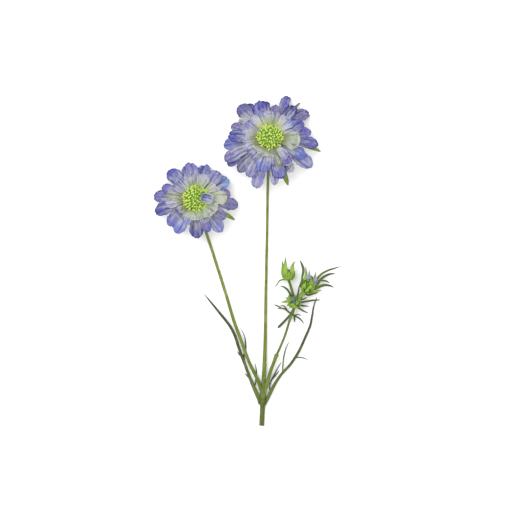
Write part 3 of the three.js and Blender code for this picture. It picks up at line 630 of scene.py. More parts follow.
def add_stem(sculpture, rows, tint, ridges=STEM_RIDGES, sides=28, end_tint=None):
    """A ribbed stem through (x, y, z, radius) rows. Its tint can vary with the share of its length."""
    path = np.array([row[:3] for row in rows], float)
    marks = distances(path)
    length = marks[-1]
    count = max(12, int(length / STEM_STEP))
    centres = smooth_path(path, count)
    share = np.linspace(0, 1, count)
    radii = np.interp(share * length, marks, [row[3] for row in rows])
    radii = np.convolve(np.pad(radii, 2, mode="edge"), [0.1, 0.2, 0.4, 0.2, 0.1], mode="valid")
    upward, sideways = frames(centres, ACROSS)
    turn = round_turn(sides)
    travelled = (share * length)[:, None]
    wobble = 0.012 * np.sin(travelled * 0.9 + 2 * turn) + 0.01 * np.sin(travelled * 0.37)
    radius = radii[:, None] * (1 + RIDGE_DEPTH * np.cos(ridges * turn + travelled * 0.02) + wobble)
    rings = rings_round(centres, sideways, upward, radius, turn)
    grain = np.stack([radius * np.cos(turn), radius * np.sin(turn), travelled + 0 * turn], axis=-1)
    tints = tint(share[:, None])[:, None] if callable(tint) else tint
    tints = np.broadcast_to(tints, rings.shape)
    end_tints = [tints[0, 0] if end_tint is None else end_tint, tints[-1, 0]]
    sculpture.add_tube(rings, centres[[0, -1]], tints, end_tints, grain, [[0, 0, 0], [0, 0, length]])


def add_blade(sculpture, path, width, kind, tints=None, hint=UP, thickness=0.7, fold=0.35):
    """A narrow leaf or bract: a strip, folded along its midrib, with a foot, middle and tip tint."""
    foot_tint, middle_tint, tip_tint = BLADE_TINTS[kind] if tints is None else tints
    path = np.array(path, float)
    length = distances(path)[-1]
    count = max(14, int(length / BLADE_STEP))
    centres = smooth_path(path, count)
    upward, sideways = frames(centres, hint)
    share = np.linspace(0, 1, count)[:, None]
    outline = BLADE_OUTLINES[kind](share)
    half = width / 2 * outline
    across = np.linspace(1, -1, BLADE_COLUMNS)
    body = np.minimum(1, outline * 1.5) * np.sqrt(np.maximum(0, 1 - across ** 2))
    body = thickness / 2 * body + BLADE_EDGE
    crease = half * fold * (np.abs(across) ** 1.4 - 0.35)
    wave = 0.05 * width * np.sin(share * length * 0.8) * across
    sides = half * np.r_[across, across[::-1]]
    heights = np.hstack([crease + wave + body, (crease + wave - body)[:, ::-1]])
    rings = centres[:, None] + sideways[:, None] * sides[..., None] + upward[:, None] * heights[..., None]
    grain = np.stack([sides, heights, share * length + 0 * heights], axis=-1)
    tints = blend(foot_tint, middle_tint, smoothstep(0.05, 0.45, share))
    tints = blend(tints, tip_tint, smoothstep(0.45, 1, share))[:, None]
    midrib = 1 + 0.18 * np.exp(-(np.r_[across, across[::-1]] / 0.16) ** 2)
    tints = np.minimum(1, tints * midrib[:, None])
    sculpture.add_tube(rings, centres[[0, -1]], tints, tints[[0, -1], 0], grain, [[0, 0, 0], [0, 0, length]])


def add_knob(sculpture, base, direction, length, radius, tints, lobes, bend):
    """A small closed floret: a short stalk that swells to a rounded or lobed top."""
    low, middle, high = tints
    direction = unit(direction)
    side = unit(np.cross(ACROSS if abs(direction[0]) < 0.8 else AWAY, direction))
    other = np.cross(direction, side)
    share = np.linspace(0, 1, 6)[:, None]
    turn = round_turn(8)
    outline = (0.45 + 0.55 * smoothstep(0.1, 0.7, share)) * np.sqrt(np.maximum(0.02, 1 - share ** 6))
    lobed = 1 + (0.28 if lobes else 0) * np.cos(lobes * turn) * share ** 2
    centres = base + direction * length * share + side * bend * length * share ** 2
    top = base + direction * length * (0.88 if lobes else 1.02) + side * bend * length
    # Dark at the foot, pale at the top and a little darker at the top point: partly the floret's own colour,
    # partly painted shade where florets crowd and painted highlight on their tips.
    shades = np.where(share < 0.6, blend(low, middle, share / 0.6), blend(middle, high, (share - 0.6) / 0.4))
    rings = rings_round(centres, side, other, radius * outline * lobed, turn)
    sculpture.add_tube(rings, [base, top], shades[:, None], [low, middle * 0.8])


# ---------------------------------------------------------------- flower heads

Sheet = namedtuple("Sheet", "points along across relief tint foot rim size")


def head_matrix(spec):
    middle = Vector(spec["place"]) - Vector(FOOTPRINT_MIDDLE)
    lean = Matrix.Rotation(math.radians(spec["lean"]), 4, "Z")
    tilt = Matrix.Rotation(-math.radians(spec["tilt"]), 4, "X")
    return Matrix.Translation(middle) @ lean @ tilt


def level_height(along, level, droop):
    bend = (DROOP - DROOP_STEP * level) * droop
    return LOWEST_LEVEL + LEVEL_STEP * level + RISE * along - bend * along ** 2


def tip_in_head(matrix, azimuth, reach, height):
    """Where a tip lies in the head's frame, if it is seen there from above."""
    turn = matrix.to_3x3()
    axis = turn @ Vector(UP)
    tip = Vector((reach * math.cos(math.radians(azimuth)), reach * math.sin(math.radians(azimuth)), 0))
    tip.z = (height - axis.dot(tip)) / axis.z
    return turn.inverted() @ tip


def wrinkles(x, y, size, offset):
    """Smooth noise over a sheet, about -1 to 1, with wrinkles of this size along and across."""
    values = [noise.noise(Vector((a / size[0], b / size[1], offset))) for a, b in zip(x.flat, y.flat)]
    return np.array(values).reshape(x.shape) * 1.6


def petal_sheet(length, width, height_at, crumple, chance, blunt=None, claw=0.3):
    """One petal that runs along +X from the origin: points, then along, across and relief."""
    u = np.linspace(0, 1, PETAL_ROWS)[:, None] ** 0.92
    v = np.linspace(-1, 1, PETAL_COLUMNS)[None, :]
    u, v = np.broadcast_arrays(u, v)
    half = width / 2 * (claw + (1 - claw) * np.sin(math.pi * 0.68 * u ** 1.35))
    blunt = chance.uniform(0.6, 0.95) if blunt is None else blunt
    pulled_back = blunt * width / 2 * (1 - np.sqrt(1 - 0.9 * v ** 2)) / (1 - math.sqrt(0.1))
    creases = [chance.uniform(-0.8, 0.8) for _ in range(chance.choice([2, 3, 3, 4]))]
    offset = chance.uniform(0, 90)

    # Ridges and creases along the blade, and notches where a crease meets the rim.
    relief = 0.45 * np.cos(math.pi * chance.choice([3, 4, 5]) * v + chance.uniform(0, 2))
    notch = 0
    for crease in creases:
        relief = relief - chance.uniform(0.6, 1.2) * np.exp(-((v - crease) / 0.13) ** 2)
        notch = notch + chance.uniform(0.3, 1.3) * np.exp(-((v - crease) / 0.1) ** 2)
    relief = relief * smoothstep(0.06, 0.5, u)

    # The outline, with a frayed tip and wavy sides.
    tip_frays = wrinkles(v * width, v * 0, (1.5, 1), offset)
    tip_frays = tip_frays + 0.6 * wrinkles(v * width, v * 0, (0.7, 1), offset + 5)
    x = length * u - pulled_back * u ** 5
    x = x + (0.28 * tip_frays - notch * (0.25 + 0.45 * crumple)) * u ** 12 + 0.3 * u ** 8
    side_frays = 0.32 * wrinkles(u * length, np.sign(v), (1.6, 0.3), offset + 20)
    side_waves = 0.55 * wrinkles(u * length, np.sign(v), (4.5, 0.3), offset + 30)
    y = v * half + (side_frays + side_waves) * np.abs(v) ** 3 * smoothstep(0.3, 0.75, u)
    y = y + chance.uniform(-0.06, 0.06) * width * u ** 2

    # The height: cupped sides, relief, crêpe wrinkles, ruffled sides and a wavy tip.
    crinkle = wrinkles(x, y, (3.4, 1.9), offset + 40) + 0.5 * wrinkles(x, y, (1.5, 0.9), offset + 50)
    crinkle = crinkle * smoothstep(0.25, 0.8, u)
    z = height_at(x) + CUP * np.abs(v) ** 2 * u ** 1.5 * chance.uniform(0.3, 1.2)
    z = z + relief * (0.26 + 0.3 * crumple) + crinkle * (0.12 + 0.6 * crumple)
    ruffle = wrinkles(u * length, np.sign(v) * 9, (4.2, 1), offset + 60)
    z = z + (0.5 + 1.3 * crumple) * ruffle * np.abs(v) ** 2 * smoothstep(0.3, 0.85, u)
    z = z + (0.3 + 0.8 * crumple) * wrinkles(v * width, v * 0, (3.4, 1), offset + 70) * u ** 5
    z = z + chance.uniform(-0.6, 0.8) * smoothstep(0.75, 1, u)
    return np.stack([x, y, z], axis=-1), u, v, relief * 0.7 + crinkle * 0.6


def turned_about(points, azimuth):
    """Points of a sheet that runs along +X, turned about Z to an azimuth in radians."""
    c, s = math.cos(azimuth), math.sin(azimuth)
    x, y, z = np.moveaxis(points, -1, 0)
    return np.stack([x * c - y * s, x * s + y * c, z], axis=-1)


def head_sheet(matrix, row, start, tip_height, height_at, chance, **form):
    """A petal of a head, from this distance off its middle. Its height goes by x and its length."""
    azimuth, reach, width, _, tint, foot, rim, crumple = row
    tip = tip_in_head(matrix, azimuth, reach, tip_height)
    length = math.hypot(tip.x, tip.y) - start
    points, u, v, relief = petal_sheet(
        length, width, lambda x: height_at(x, length), crumple, chance, **form)
    points[..., 0] += start
    points = turned_about(points, math.atan2(tip.y, tip.x))
    return Sheet(points, u, v, relief, PETAL_TINTS[tint], PETAL_TINTS[foot], rim, (length, width))


def petal_piece(name, sheets, material, nodes, matrix):
    """One piece of petal sheets, all with the same number of points."""
    each = PETAL_ROWS * PETAL_COLUMNS
    corners = [start + i * PETAL_COLUMNS + j for start in range(0, each * len(sheets), each)
               for i in range(PETAL_ROWS - 1) for j in range(PETAL_COLUMNS - 1)]
    faces = [(c, c + PETAL_COLUMNS, c + PETAL_COLUMNS + 1, c + 1) for c in corners]
    points, along, across, relief, tint, foot, rim, size = (np.array(values) for values in zip(*sheets))
    mesh = new_mesh(name, points.reshape(-1, 3), faces, matrix)
    along, across = along.ravel(), across.ravel()
    uv = np.column_stack([along, 0.5 + 0.5 * across])
    vertices = np.empty(len(mesh.loops), int)
    mesh.loops.foreach_get("vertex_index", vertices)
    mesh.uv_layers.new(name="blade").data.foreach_set("uv", uv[vertices].ravel())
    length, width = np.repeat(size, each, axis=0).T
    depth = 7.3 * np.repeat(np.arange(len(sheets)), each) + length + width
    store(mesh, "tint", "FLOAT_COLOR", np.repeat(tint, each, axis=0))
    store(mesh, "foot", "FLOAT_COLOR", np.repeat(foot, each, axis=0))
    store(mesh, "rim", "FLOAT", np.repeat(rim, each))
    store(mesh, "relief", "FLOAT", relief)
    store(mesh, "grain", "FLOAT_VECTOR", np.column_stack([along * length, across * width / 2, depth]))
    piece = place(name, mesh, material, nodes)
    thick = piece.modifiers.new("thickness", "SOLIDIFY")
    thick.thickness = PETAL_THICKNESS * MM
    thick.offset = 0
    return piece


def make_petals(spec, matrix, material, chance):
    start = spec["core_radius"] + PETAL_GAP
    for number, row in enumerate(spec["petals"], 1):
        reach, level = row[1], row[3]

        def height_at(x, _):
            return level_height(x, level, spec["droop"])

        tip_height = level_height(reach - start, level, spec["droop"])
        sheet = head_sheet(matrix, row, start, tip_height, height_at, chance)
        node = f"{spec['name']}_petal_{number:02d}"
        petal_piece(f"{spec['name']}_blade_{number:02d}", [sheet], material, [node], matrix)


def make_inner_petals(spec, matrix, material, chance):
    """Short petals round the disc, which lie over the feet of the long ones."""
    sheets = []
    start = spec["disc_radius"] - INNER_OVERLAP
    for row in spec["inner_petals"]:
        height = INNER_HEIGHT + row[3]

        def height_at(x, length):
            share = x / length
            return height + INNER_RISE * smoothstep(-0.3, 0.6, share) - INNER_DROOP * share ** 2

        sheets.append(head_sheet(matrix, row, start, height, height_at, chance, blunt=0.5, claw=0.5))
    node = f"{spec['name']}_throat"
    petal_piece(f"{spec['name']}_frill", sheets, material, [node], matrix)


def make_disc(spec, matrix, material, chance):
    """The pincushion: closed florets packed over a dome."""
    sculpture = Sculpture()
    radius, floor = spec["disc_radius"], CORE_HEIGHT + BED_LIFT
    share = np.linspace(0, 1, 10)[:, None]
    bed_radius = (radius - BED_INSET) * np.cos(share * math.pi / 2 * 0.97)
    bed_middles = (floor + (DISC_RISE - BED_DEPTH) * np.sin(share * math.pi / 2)) * UP
    bed = rings_round(bed_middles, ACROSS, AWAY, bed_radius, round_turn(40))
    # The bed is dark green: partly its own colour, partly painted shade in the gaps between the florets.
    sculpture.add_tube(bed, bed_middles[[0, -1]], FLORET_GAP, [FLORET_GAP] * 2)
    for i in range(DISC_FLORETS):
        spread = math.sqrt((i + 0.5) / DISC_FLORETS)
        around = i * GOLDEN_ANGLE + chance.uniform(-0.1, 0.1)
        lean = spread * DISC_SPREAD
        outward = outward_at(around, ACROSS, AWAY)
        normal = outward * math.sin(lean) + UP * math.cos(lean)
        height = floor + (DISC_RISE - FLORET_DEPTH) * math.cos(lean)
        base = outward * (radius - FLORET_INSET) * math.sin(lean) + UP * height
        wander = np.array([chance.uniform(-0.45, 0.45) for _ in range(3)])
        length = chance.uniform(1.9, 3.8) + (chance.uniform(0, 1.2) if spread > 0.8 else 0)
        shade = chance.uniform(0, 1) ** 1.5
        middle = blend(FLORET_MIDDLE, FLORET_FOOT, 0.7 * shade)
        tip = blend(FLORET_TIP, FLORET_MIDDLE, shade)
        if spread > 0.7 and chance.random() < 0.14:
            tip = FLORET_RUST
        add_knob(sculpture, base, normal + wander, length, chance.uniform(0.66, 1.08),
                 (FLORET_GAP, middle, tip), chance.choice([0, 0, 0, 4]), chance.uniform(-0.2, 0.2))
    node = f"{spec['name']}_disc"
    return sculpture.piece(f"{spec['name']}_florets", material, "floret", [node], matrix)


def make_involucre(spec, matrix, material):
    """The ribbed cup that carries the petals, and the bracts that stand out from it."""
    sculpture = Sculpture()
    core = spec["core_radius"]
    profile = [(1.9, -NECK_DEPTH), (2.5, -NECK_DEPTH + 1.4), (3.6, -8), (5, -7), (core * 0.76, -5.6),
               (core * 0.96, -3.9), (core, -2.9), (core, 0), (core * 0.98, CORE_HEIGHT)]
    rows = len(profile) * 3
    marks = np.linspace(0, len(profile) - 1, rows)
    radius, height = (np.interp(marks, range(len(profile)), values)[:, None] for values in zip(*profile))
    turn = round_turn(48)
    ribbed = radius * (1 + CUP_RIB_DEPTH * np.cos(CUP_RIBS * turn))
    cup = rings_round(height * UP, ACROSS, AWAY, ribbed, turn)
    tints = blend(STEM_GREEN, CUP_GREEN, np.linspace(0, 1, rows)[:, None])
    sculpture.add_tube(cup, (height * UP)[[0, -1]], tints[:, None], tints[[0, -1]])
    root = core - BRACT_ROOT
    for azimuth, reach, width, slope, tints in spec["bracts"]:
        def height_at(along):
            return level_height(along, BRACT_LEVEL, spec["droop"]) + slope * along

        tip = tip_in_head(matrix, azimuth, reach, height_at(reach - root))
        length = math.hypot(tip.x, tip.y) - root
        away = unit((tip.x, tip.y, 0))
        path = [away * (root + share * length) + UP * height_at(share * length)
                for share in (0, 0.3, 0.6, 0.8, 1)]
        add_blade(sculpture, path, width, "lance", BLADE_TINTS[tints])
    node = f"{spec['name']}_involucre"
    return sculpture.piece(f"{spec['name']}_cup", material, "bract", [node], matrix)


def make_curled_petal(spec, matrix, material, chance):
    """The inner petal that stands up beside the disc and curls back over it."""
    width, size = CURLED_PETAL["width"], (14, CURLED_PETAL["width"])
    path = smooth_path([(x, 0, z) for x, z in CURLED_PETAL["profile"]], PETAL_ROWS)
    v, u = np.meshgrid(np.linspace(-1, 1, PETAL_COLUMNS), np.linspace(0, 1, PETAL_ROWS))
    outward = np.cross(unit(np.gradient(path, axis=0)), AWAY)
    half = width / 2 * (0.5 + 0.62 * np.sin(math.pi * np.minimum(1, u * 0.82)))
    half = half * np.sqrt(np.maximum(0.03, 1 - np.maximum(0, (u - 0.68) / 0.33) ** 2))
    offset = chance.uniform(0, 90)
    relief = np.cos(4 * math.pi * v + 2) * 0.5 + wrinkles(u * 14, v * 4, (3, 1.6), offset)
    frayed = 0.4 * wrinkles(u * 14, np.sign(v), (1.6, 1), offset + 9) * np.abs(v) ** 3
    lift = -0.9 * v ** 2 * u + 0.4 * relief * u
    points = path[:, None] + outward[:, None] * lift[..., None] + AWAY * (v * half + frayed)[..., None]
    points = turned_about(points, math.radians(CURLED_PETAL["azimuth"] - spec["lean"]))
    tint, foot = PETAL_TINTS["blue"] * CURLED_PETAL["shade"], PETAL_TINTS["sage"]
    sheet = Sheet(points, u ** 0.7, v, relief, tint, foot, CURLED_PETAL["rim"], size)
    node = "small_head_curled_petal"
    petal_piece("small_head_curled_blade", [sheet], material, [node], matrix)


def neck_rows(matrix):
    """The last rows of a stem, which turn up into the cup of the head that it carries."""
    return [(*(np.array(matrix @ Vector((0, 0, -NECK_DEPTH - depth))) + FOOTPRINT_MIDDLE), radius)
            for depth, radius in NECK]


# ---------------------------------------------------------------- stems, leaves and buds

def make_stem(node, rows, material, tint, **form):
    sculpture = Sculpture()
    add_stem(sculpture, rows, tint, **form)
    return sculpture.piece(f"{node}_skin", material, "stem", [node])


def make_leaf(node, strips, material):
    sculpture = Sculpture()
    for width, kind, path in strips:
        add_blade(sculpture, path, width, kind, fold=0.3)
    return sculpture.piece(f"{node}_blade", material, "leaf", [node])


def egg_outline(share):
    """Radius of a bud along its axis, as a share of its full radius."""
    return np.interp(share, *zip(*EGG_PROFILE))


class Bud:
    """A bud under way: its axis, and what has been added round it."""

    def __init__(self, spec, chance):
        self.spec, self.chance = spec, chance
        self.radius = spec["radius"]
        self.sculpture = Sculpture()
        self.base, crown = np.array(spec["base"], float), np.array(spec["crown"], float)
        self.length = np.linalg.norm(crown - self.base)
        self.axis = (crown - self.base) / self.length
        self.side = unit(np.cross(self.axis, ACROSS + 0.1 * UP))
        self.other = np.cross(self.axis, self.side)

    # The egg is mostly dark green, so that it shows between the scales as painted shade.
    def add_egg(self, tints):
        share = np.linspace(0, 1, 22)[:, None]
        turn = round_turn(36)
        swell = 1 + 0.05 * np.cos(8 * turn) * np.sin(math.pi * share)
        centres = self.base + self.axis * self.length * share
        radius = self.radius * 0.93 * egg_outline(share) * swell
        rings = rings_round(centres, self.side, self.other, radius, turn)
        self.sculpture.add_tube(rings, centres[[0, -1]], blend(*tints, share)[:, None], tints)

    def add_scales(self, count, high, width, tints):
        """Short green scales that lie along the egg, tips a little off it."""
        chance = self.chance
        for i in range(count):
            start = high * i / count + chance.uniform(-0.03, 0.03)
            around = i * GOLDEN_ANGLE + chance.uniform(-0.15, 0.15)
            outward = outward_at(around, self.side, self.other)
            path = []
            for step in (0, 0.35, 0.7, 1):
                share = start + step * chance.uniform(0.36, 0.46)
                off_axis = self.radius * egg_outline(min(share, 0.9)) * 0.97 + SCALE_LIFT + 0.6 * step ** 2
                path.append(self.base + self.axis * self.length * share + outward * off_axis)
            tint = tints[i % len(tints)]
            add_blade(self.sculpture, path, width * chance.uniform(0.85, 1.15), "broad",
                      (tint * 0.85, tint, tint * 0.8), hint=outward, thickness=0.5, fold=0.25)

    def add_florets(self, count, upturn, spread, tints):
        """Closed florets, spread round the direction in which the bud faces."""
        chance = self.chance
        face = unit(self.axis + UP * upturn)
        side = unit(np.cross(face, ACROSS + 0.1 * self.axis))
        other = np.cross(face, side)
        middle = self.base + self.axis * self.length / 2
        for i in range(count):
            lean = math.sqrt((i + 0.5) / count) * spread
            outward = outward_at(i * GOLDEN_ANGLE, side, other)
            normal = outward * math.sin(lean) + face * math.cos(lean)
            stretch = blend(1.0, self.length / 2 / self.radius, abs(float(normal @ self.axis)))
            start = middle + normal * self.radius * 0.7 * stretch
            wander = np.array([chance.uniform(-0.25, 0.25) for _ in range(3)])
            tint = tints[chance.randrange(len(tints))]
            add_knob(self.sculpture, start, normal + wander, BUD_FLORET * chance.uniform(0.8, 1.25),
                     chance.uniform(0.6, 0.9), (tint * 0.4, tint * 0.8, tint),
                     chance.choice([0, 4]), chance.uniform(-0.2, 0.2))

    def finish(self, material):
        if self.spec["stalk"]:
            radius, tint, path = self.spec["stalk"]
            add_stem(self.sculpture, [(*point, radius) for point in path], tint, sides=20)
        for width, kind, path in self.spec["bracts"]:
            width *= BROAD_BRACT if kind == "broad" else NARROW_BRACT
            add_blade(self.sculpture, path, width, kind)
        for width, path in self.spec["petals"]:
            tints = (BRACT_GREEN, BUD_LILAC * 0.75, BUD_LILAC)
            add_blade(self.sculpture, path, width, "broad", tints, fold=0.7)
        node = self.spec["node"]
        return self.sculpture.piece(f"{node}_spray", material, "bud", [node])


def make_bud(spec, material, chance):
    bud = Bud(spec, chance)
    bud.add_egg(spec["egg"])
    bud.add_scales(*spec["scales"])
    if spec["florets"]:
        bud.add_florets(*spec["florets"])
    bud.finish(material)


# ---------------------------------------------------------------- materials

class Nodes:
    """Short ways to build a shader graph."""

    def __init__(self, name):
        self.material = bpy.data.materials.new(name)
        self.material.use_nodes = True
        self.tree = self.material.node_tree
        self.shader = self.tree.nodes["Principled BSDF"]
        self.output = self.tree.nodes["Material Output"]

    def link(self, value, socket):
        if isinstance(value, bpy.types.NodeSocket):
            self.tree.links.new(value, socket)
        else:
            socket.default_value = (*value, 1) if isinstance(value, np.ndarray) else value

    def node(self, kind, inputs, **settings):
        """The outputs of a new node. Its inputs are values, or the outputs of other nodes."""
        node = self.tree.nodes.new("ShaderNode" + kind)
        for name, value in settings.items():
            setattr(node, name, value)
        for name, value in inputs.items():
            self.link(value, node.inputs[name])
        return node.outputs

    def attribute(self, name, output):
        return self.node("Attribute", {}, attribute_name=name)[output]

    def calculate(self, operation, a, b=0.0, clamp=False):
        return self.node("Math", {0: a, 1: b}, operation=operation, use_clamp=clamp)[0]

    def add(self, a, b):
        return self.calculate("ADD", a, b)

    def times(self, a, b, clamp=False):
        return self.calculate("MULTIPLY", a, b, clamp)

    def mix(self, share, a, b, how="MIX"):
        return self.node("Mix", {"Factor": share, 6: a, 7: b}, data_type="RGBA", blend_type=how)[2]

    def ramp(self, value, low, high, out_low=0.0, out_high=1.0, smooth=True):
        way = "SMOOTHSTEP" if smooth else "LINEAR"
        inputs = {"Value": value, "From Min": low, "From Max": high, "To Min": out_low, "To Max": out_high}
        return self.node("MapRange", inputs, interpolation_type=way)["Result"]

    def lay(self, colour, over, value, low, high, most=1.0):
        """The colour, with another laid over it more and more as a value goes from low to high."""
        return self.mix(self.ramp(value, low, high, 0, most), colour, over)

    def noise(self, vector, scale, detail, rough):
        """Noise that varies this many times a unit in each direction."""
        scaled = self.node("Mapping", {"Vector": vector, "Scale": scale})["Vector"]
        inputs = {"Vector": scaled, "Scale": 1.0, "Detail": detail, "Roughness": rough}
        return self.node("TexNoise", inputs)["Fac"]

    def surface(self, colour, roughness, specular):
        inputs = {"Base Color": colour, "Roughness": roughness, "Specular IOR Level": specular}
        for name, value in inputs.items():
            self.link(value, self.shader.inputs[name])

    def bump(self, height, strength, distance):
        inputs = {"Strength": strength, "Distance": distance, "Height": height}
        normal = self.node("Bump", inputs)["Normal"]
        self.link(normal, self.shader.inputs["Normal"])
        return normal

    def translucent(self, colour, share, normal):
        """Lets light through a thin blade."""
        through = self.node("BsdfTranslucent", {"Color": colour, "Normal": normal})[0]
        both = self.node("MixShader", {0: share, 1: self.shader.outputs[0], 2: through})[0]
        self.link(both, self.output.inputs["Surface"])


def petal_material(name, foot_low, foot_high, start, full, blush, rim_start, streaky):
    """A crêpe petal: the foot's colour, then a pale zone, then its own tint towards the tip."""
    nodes = Nodes(name)
    blade = nodes.node("UVMap", {}, uv_map="blade")["UV"]
    split = nodes.node("SeparateXYZ", {"Vector": blade})
    along = split["X"]
    across = nodes.calculate("ABSOLUTE", nodes.ramp(split["Y"], 0, 1, -1, 1, smooth=False))
    foot = nodes.attribute("foot", "Color")
    rim = nodes.attribute("rim", "Fac")
    relief = nodes.attribute("relief", "Fac")
    grain = nodes.attribute("grain", "Vector")
    blotch = nodes.noise(grain, (0.16, 0.3, 1), 3, 0.6)
    bands = nodes.noise(grain, (0.07, 0.75, 1.7), 2, 0.5)
    streaks = nodes.noise(grain, (0.16, 1.3, 2.3), 3, 0.65)
    fleck = nodes.noise(grain, (0.9, 1.3, 3.1), 3, 0.6)
    crepe = nodes.noise(grain, (3.2, 4.5, 1), 2, 0.5)
    flush = nodes.noise(grain, (0.13, 0.24, 2.9), 2, 0.55)

    tint = nodes.lay(nodes.attribute("tint", "Color"), BLUE_BLUSH, flush, 0.5, 0.68, blush)
    tint = nodes.lay(tint, GREY_BLUSH, flush, 0.5, 0.34, blush)
    deep_tone_and_shade = nodes.mix(1.0, tint, CREPE_SHADE, "MULTIPLY")
    light = nodes.mix(0.7, tint, PETAL_TINTS["white"])
    reach = nodes.add(along, nodes.ramp(blotch, 0.2, 0.8, -0.2, 0.2, smooth=False))
    reach = nodes.add(reach, nodes.ramp(bands, 0.2, 0.8, -0.16, 0.16, smooth=False))
    colour = nodes.lay(foot, light, reach, foot_low, foot_high)
    colour = nodes.lay(colour, tint, reach, start, full)

    # Pale and dark streaks along the petal: partly its own veining, partly painted highlight and painted
    # shade on the ridges and grooves that the same streaks bump up.
    colour = nodes.lay(colour, light, streaks, 0.5, 0.72, streaky)
    colour = nodes.lay(colour, deep_tone_and_shade, streaks, 0.46, 0.26, 0.8 * streaky)
    blot = nodes.times(nodes.ramp(fleck, 0.5, 0.7), nodes.ramp(reach, 0.45, 0.9, 0, 0.6))
    colour = nodes.mix(blot, colour, deep_tone_and_shade)
    # Painted highlight on the ridges of the relief and painted shade in its creases, partly the dye that
    # gathers in them.
    colour = nodes.lay(colour, light, relief, 0.1, 1.0, 0.5)
    colour = nodes.lay(colour, deep_tone_and_shade, relief, -0.2, -1.1, 0.6)

    side = nodes.times(nodes.ramp(across, 0.8, 0.97), nodes.ramp(along, 0.3, 0.55))
    edge = nodes.calculate("MAXIMUM", side, nodes.ramp(along, rim_start, 0.99))
    dark = nodes.times(edge, nodes.times(rim, 0.9), clamp=True)
    white = nodes.times(edge, nodes.times(rim, -0.9), clamp=True)
    colour = nodes.mix(dark, colour, nodes.mix(1.0, deep_tone_and_shade, CREPE_SHADE, "MULTIPLY"))
    colour = nodes.mix(white, colour, WHITE_RIM)
    nodes.surface(colour, nodes.ramp(fleck, 0.3, 0.7, 0.6, 0.8), 0.3)
    normal = nodes.bump(nodes.add(streaks, nodes.times(crepe, 0.5)), 0.6, 0.0004)
    nodes.translucent(colour, 0.35, normal)
    return nodes.material


def green_material(name, streak, speckle, roughness, translucency=0.0):
    """Stems, leaves and buds: their own tint, streaked along the grain."""
    nodes = Nodes(name)
    tint = nodes.attribute("tint", "Color")
    grain = nodes.attribute("grain", "Vector")
    streaks = nodes.noise(grain, (2.6, 2.6, 0.12), 3, 0.6)
    patches = nodes.noise(grain, (0.25, 0.25, 0.09), 3, 0.55)
    dots = nodes.noise(grain, (3.5, 3.5, 3.5), 2, 0.5)
    dark = nodes.mix(1.0, tint, STREAK_SHADE, "MULTIPLY")
    bright = nodes.mix(1.0, tint, PATCH_LIGHT, "SCREEN")
    colour = nodes.lay(tint, dark, streaks, 0.4, 0.7, streak)
    colour = nodes.lay(colour, bright, patches, 0.45, 0.75, streak * 0.15)
    colour = nodes.lay(colour, dark, dots, 0.55, 0.7, speckle)
    nodes.surface(colour, nodes.ramp(streaks, 0.3, 0.7, roughness - 0.08, roughness + 0.1), 0.2)
    normal = nodes.bump(nodes.add(streaks, nodes.times(dots, 0.5)), 0.45, 0.00025)
    if translucency:
        nodes.translucent(colour, translucency, normal)
    return nodes.material


def floor_material():
    nodes = Nodes("floor")
    shade = nodes.noise(nodes.node("TexCoord", {})["Object"], (3, 3, 3), 2, 0.5)
    nodes.surface(nodes.mix(nodes.ramp(shade, 0.3, 0.7), *TABLE_TINTS), 0.9, 0.1)
    return nodes.material


# ---------------------------------------------------------------- the spray

def main_stem_tint(share):
    """Darker and fuller green round the fork than along the stem."""
    tint = blend(STEM_LOW, STEM_NODE, smoothstep(0.07, 0.1, share))
    tint = blend(tint, STEM_GREEN, smoothstep(0.13, 0.17, share))
    tint = blend(tint, STEM_PALE, smoothstep(0.75, 0.98, share))
    # The narrow dark ring near the fork is painted shadow in the groove of the collar.
    return blend(tint, NODE_SHADE, 0.8 * np.exp(-((share - 0.094) / 0.005) ** 2))


def left_stem_tint(share):
    tint = blend(STEM_NODE, STEM_GREEN, smoothstep(0.04, 0.14, share))
    # Paler towards the head: partly the stem's own colour, partly painted light where the head's shadow
    # falls on it.
    return blend(tint, STEM_PALE, smoothstep(0.6, 0.98, share))


def shoot_stem_tint(share):
    """Dark at the node of the whorl, near its upper end."""
    tint = blend(SHOOT_GREEN, STEM_NODE, smoothstep(0.8, 0.9, share))
    return blend(tint, NODE_SHADE, 0.9 * np.exp(-((share - 0.83) / 0.025) ** 2))


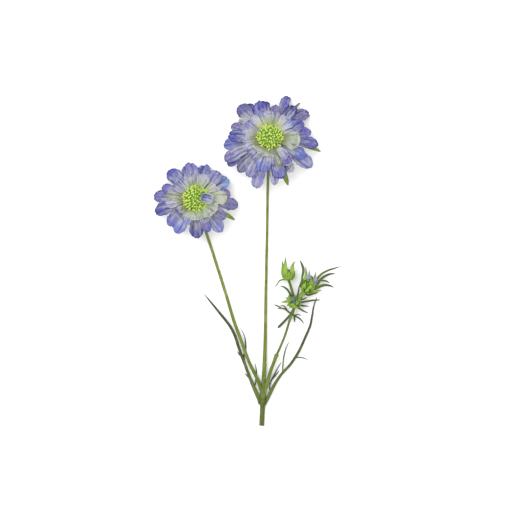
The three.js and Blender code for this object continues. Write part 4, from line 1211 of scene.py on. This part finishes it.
def make_spray():
    chance = random.Random(SEED)
    petal = petal_material("petal", 0.1, 0.55, 0.46, 0.86, 0.45, 0.93, 0.5)
    inner = petal_material("inner petal", 0.1, 0.8, 0.6, 1.05, 0.1, 0.82, 0.8)
    floret = green_material("floret", 0.35, 0.2, 0.5)
    green = green_material("green", 0.75, 0.3, 0.55)
    leaf = green_material("leaf", 0.7, 0.35, 0.6, translucency=0.12)
    necks = []
    for head in (LARGE_HEAD, SMALL_HEAD):
        matrix = head_matrix(head)
        make_petals(head, matrix, petal, chance)
        make_inner_petals(head, matrix, inner, chance)
        make_disc(head, matrix, floret, chance)
        make_involucre(head, matrix, green)
        necks.append(neck_rows(matrix))
    make_curled_petal(SMALL_HEAD, matrix, petal, chance)

    make_stem("main_stem", MAIN_STEM + necks[0], green, main_stem_tint, end_tint=PITH)
    make_stem("left_stem", LEFT_STEM + necks[1], green, left_stem_tint)
    make_stem("shoot_socket", SHOOT_SOCKET, green, STEM_GREEN)
    make_stem("shoot_stem", SHOOT_STEM, green, shoot_stem_tint, ridges=5)
    for node, strips in LEAVES.items():
        make_leaf(node, strips, leaf)
    for bud in (LOWER_BUD, UPPER_BUD, FLOWERING_BUD):
        make_bud(bud, leaf, chance)


# ---------------------------------------------------------------- the studio

def make_floor():
    bpy.ops.mesh.primitive_plane_add(size=TABLE_SIZE)
    floor = bpy.context.object
    floor.name = "floor"
    floor.data.materials.append(floor_material())


def make_studio():
    scene = bpy.context.scene
    scene.view_settings.view_transform = "Standard"
    scene.world = bpy.data.worlds.new("studio")
    scene.world.use_nodes = True
    sky = scene.world.node_tree.nodes["Background"]
    sky.inputs["Color"].default_value = (1, 1, 1, 1)
    sky.inputs["Strength"].default_value = SKY_STRENGTH
    for name, (spot, size, power) in LIGHTS.items():
        lamp = bpy.data.lights.new(name, "AREA")
        lamp.shape, lamp.size, lamp.energy = "DISK", size, power
        lamp_object = bpy.data.objects.new(name, lamp)
        lamp_object.location = spot
        lamp_object.rotation_euler = (-Vector(spot)).to_track_quat("-Z", "Y").to_euler()
        scene.collection.objects.link(lamp_object)


def make_camera():
    lens = bpy.data.cameras.new("camera")
    lens.lens, lens.sensor_width = CAMERA_LENS, 36
    lens.clip_end = 50
    camera = bpy.data.objects.new("camera", lens)
    camera.location = (*CAMERA_POINT, CAMERA_HEIGHT)
    bpy.context.scene.collection.objects.link(camera)
    bpy.context.scene.camera = camera


make_camera()
make_floor()
make_studio()
make_spray()
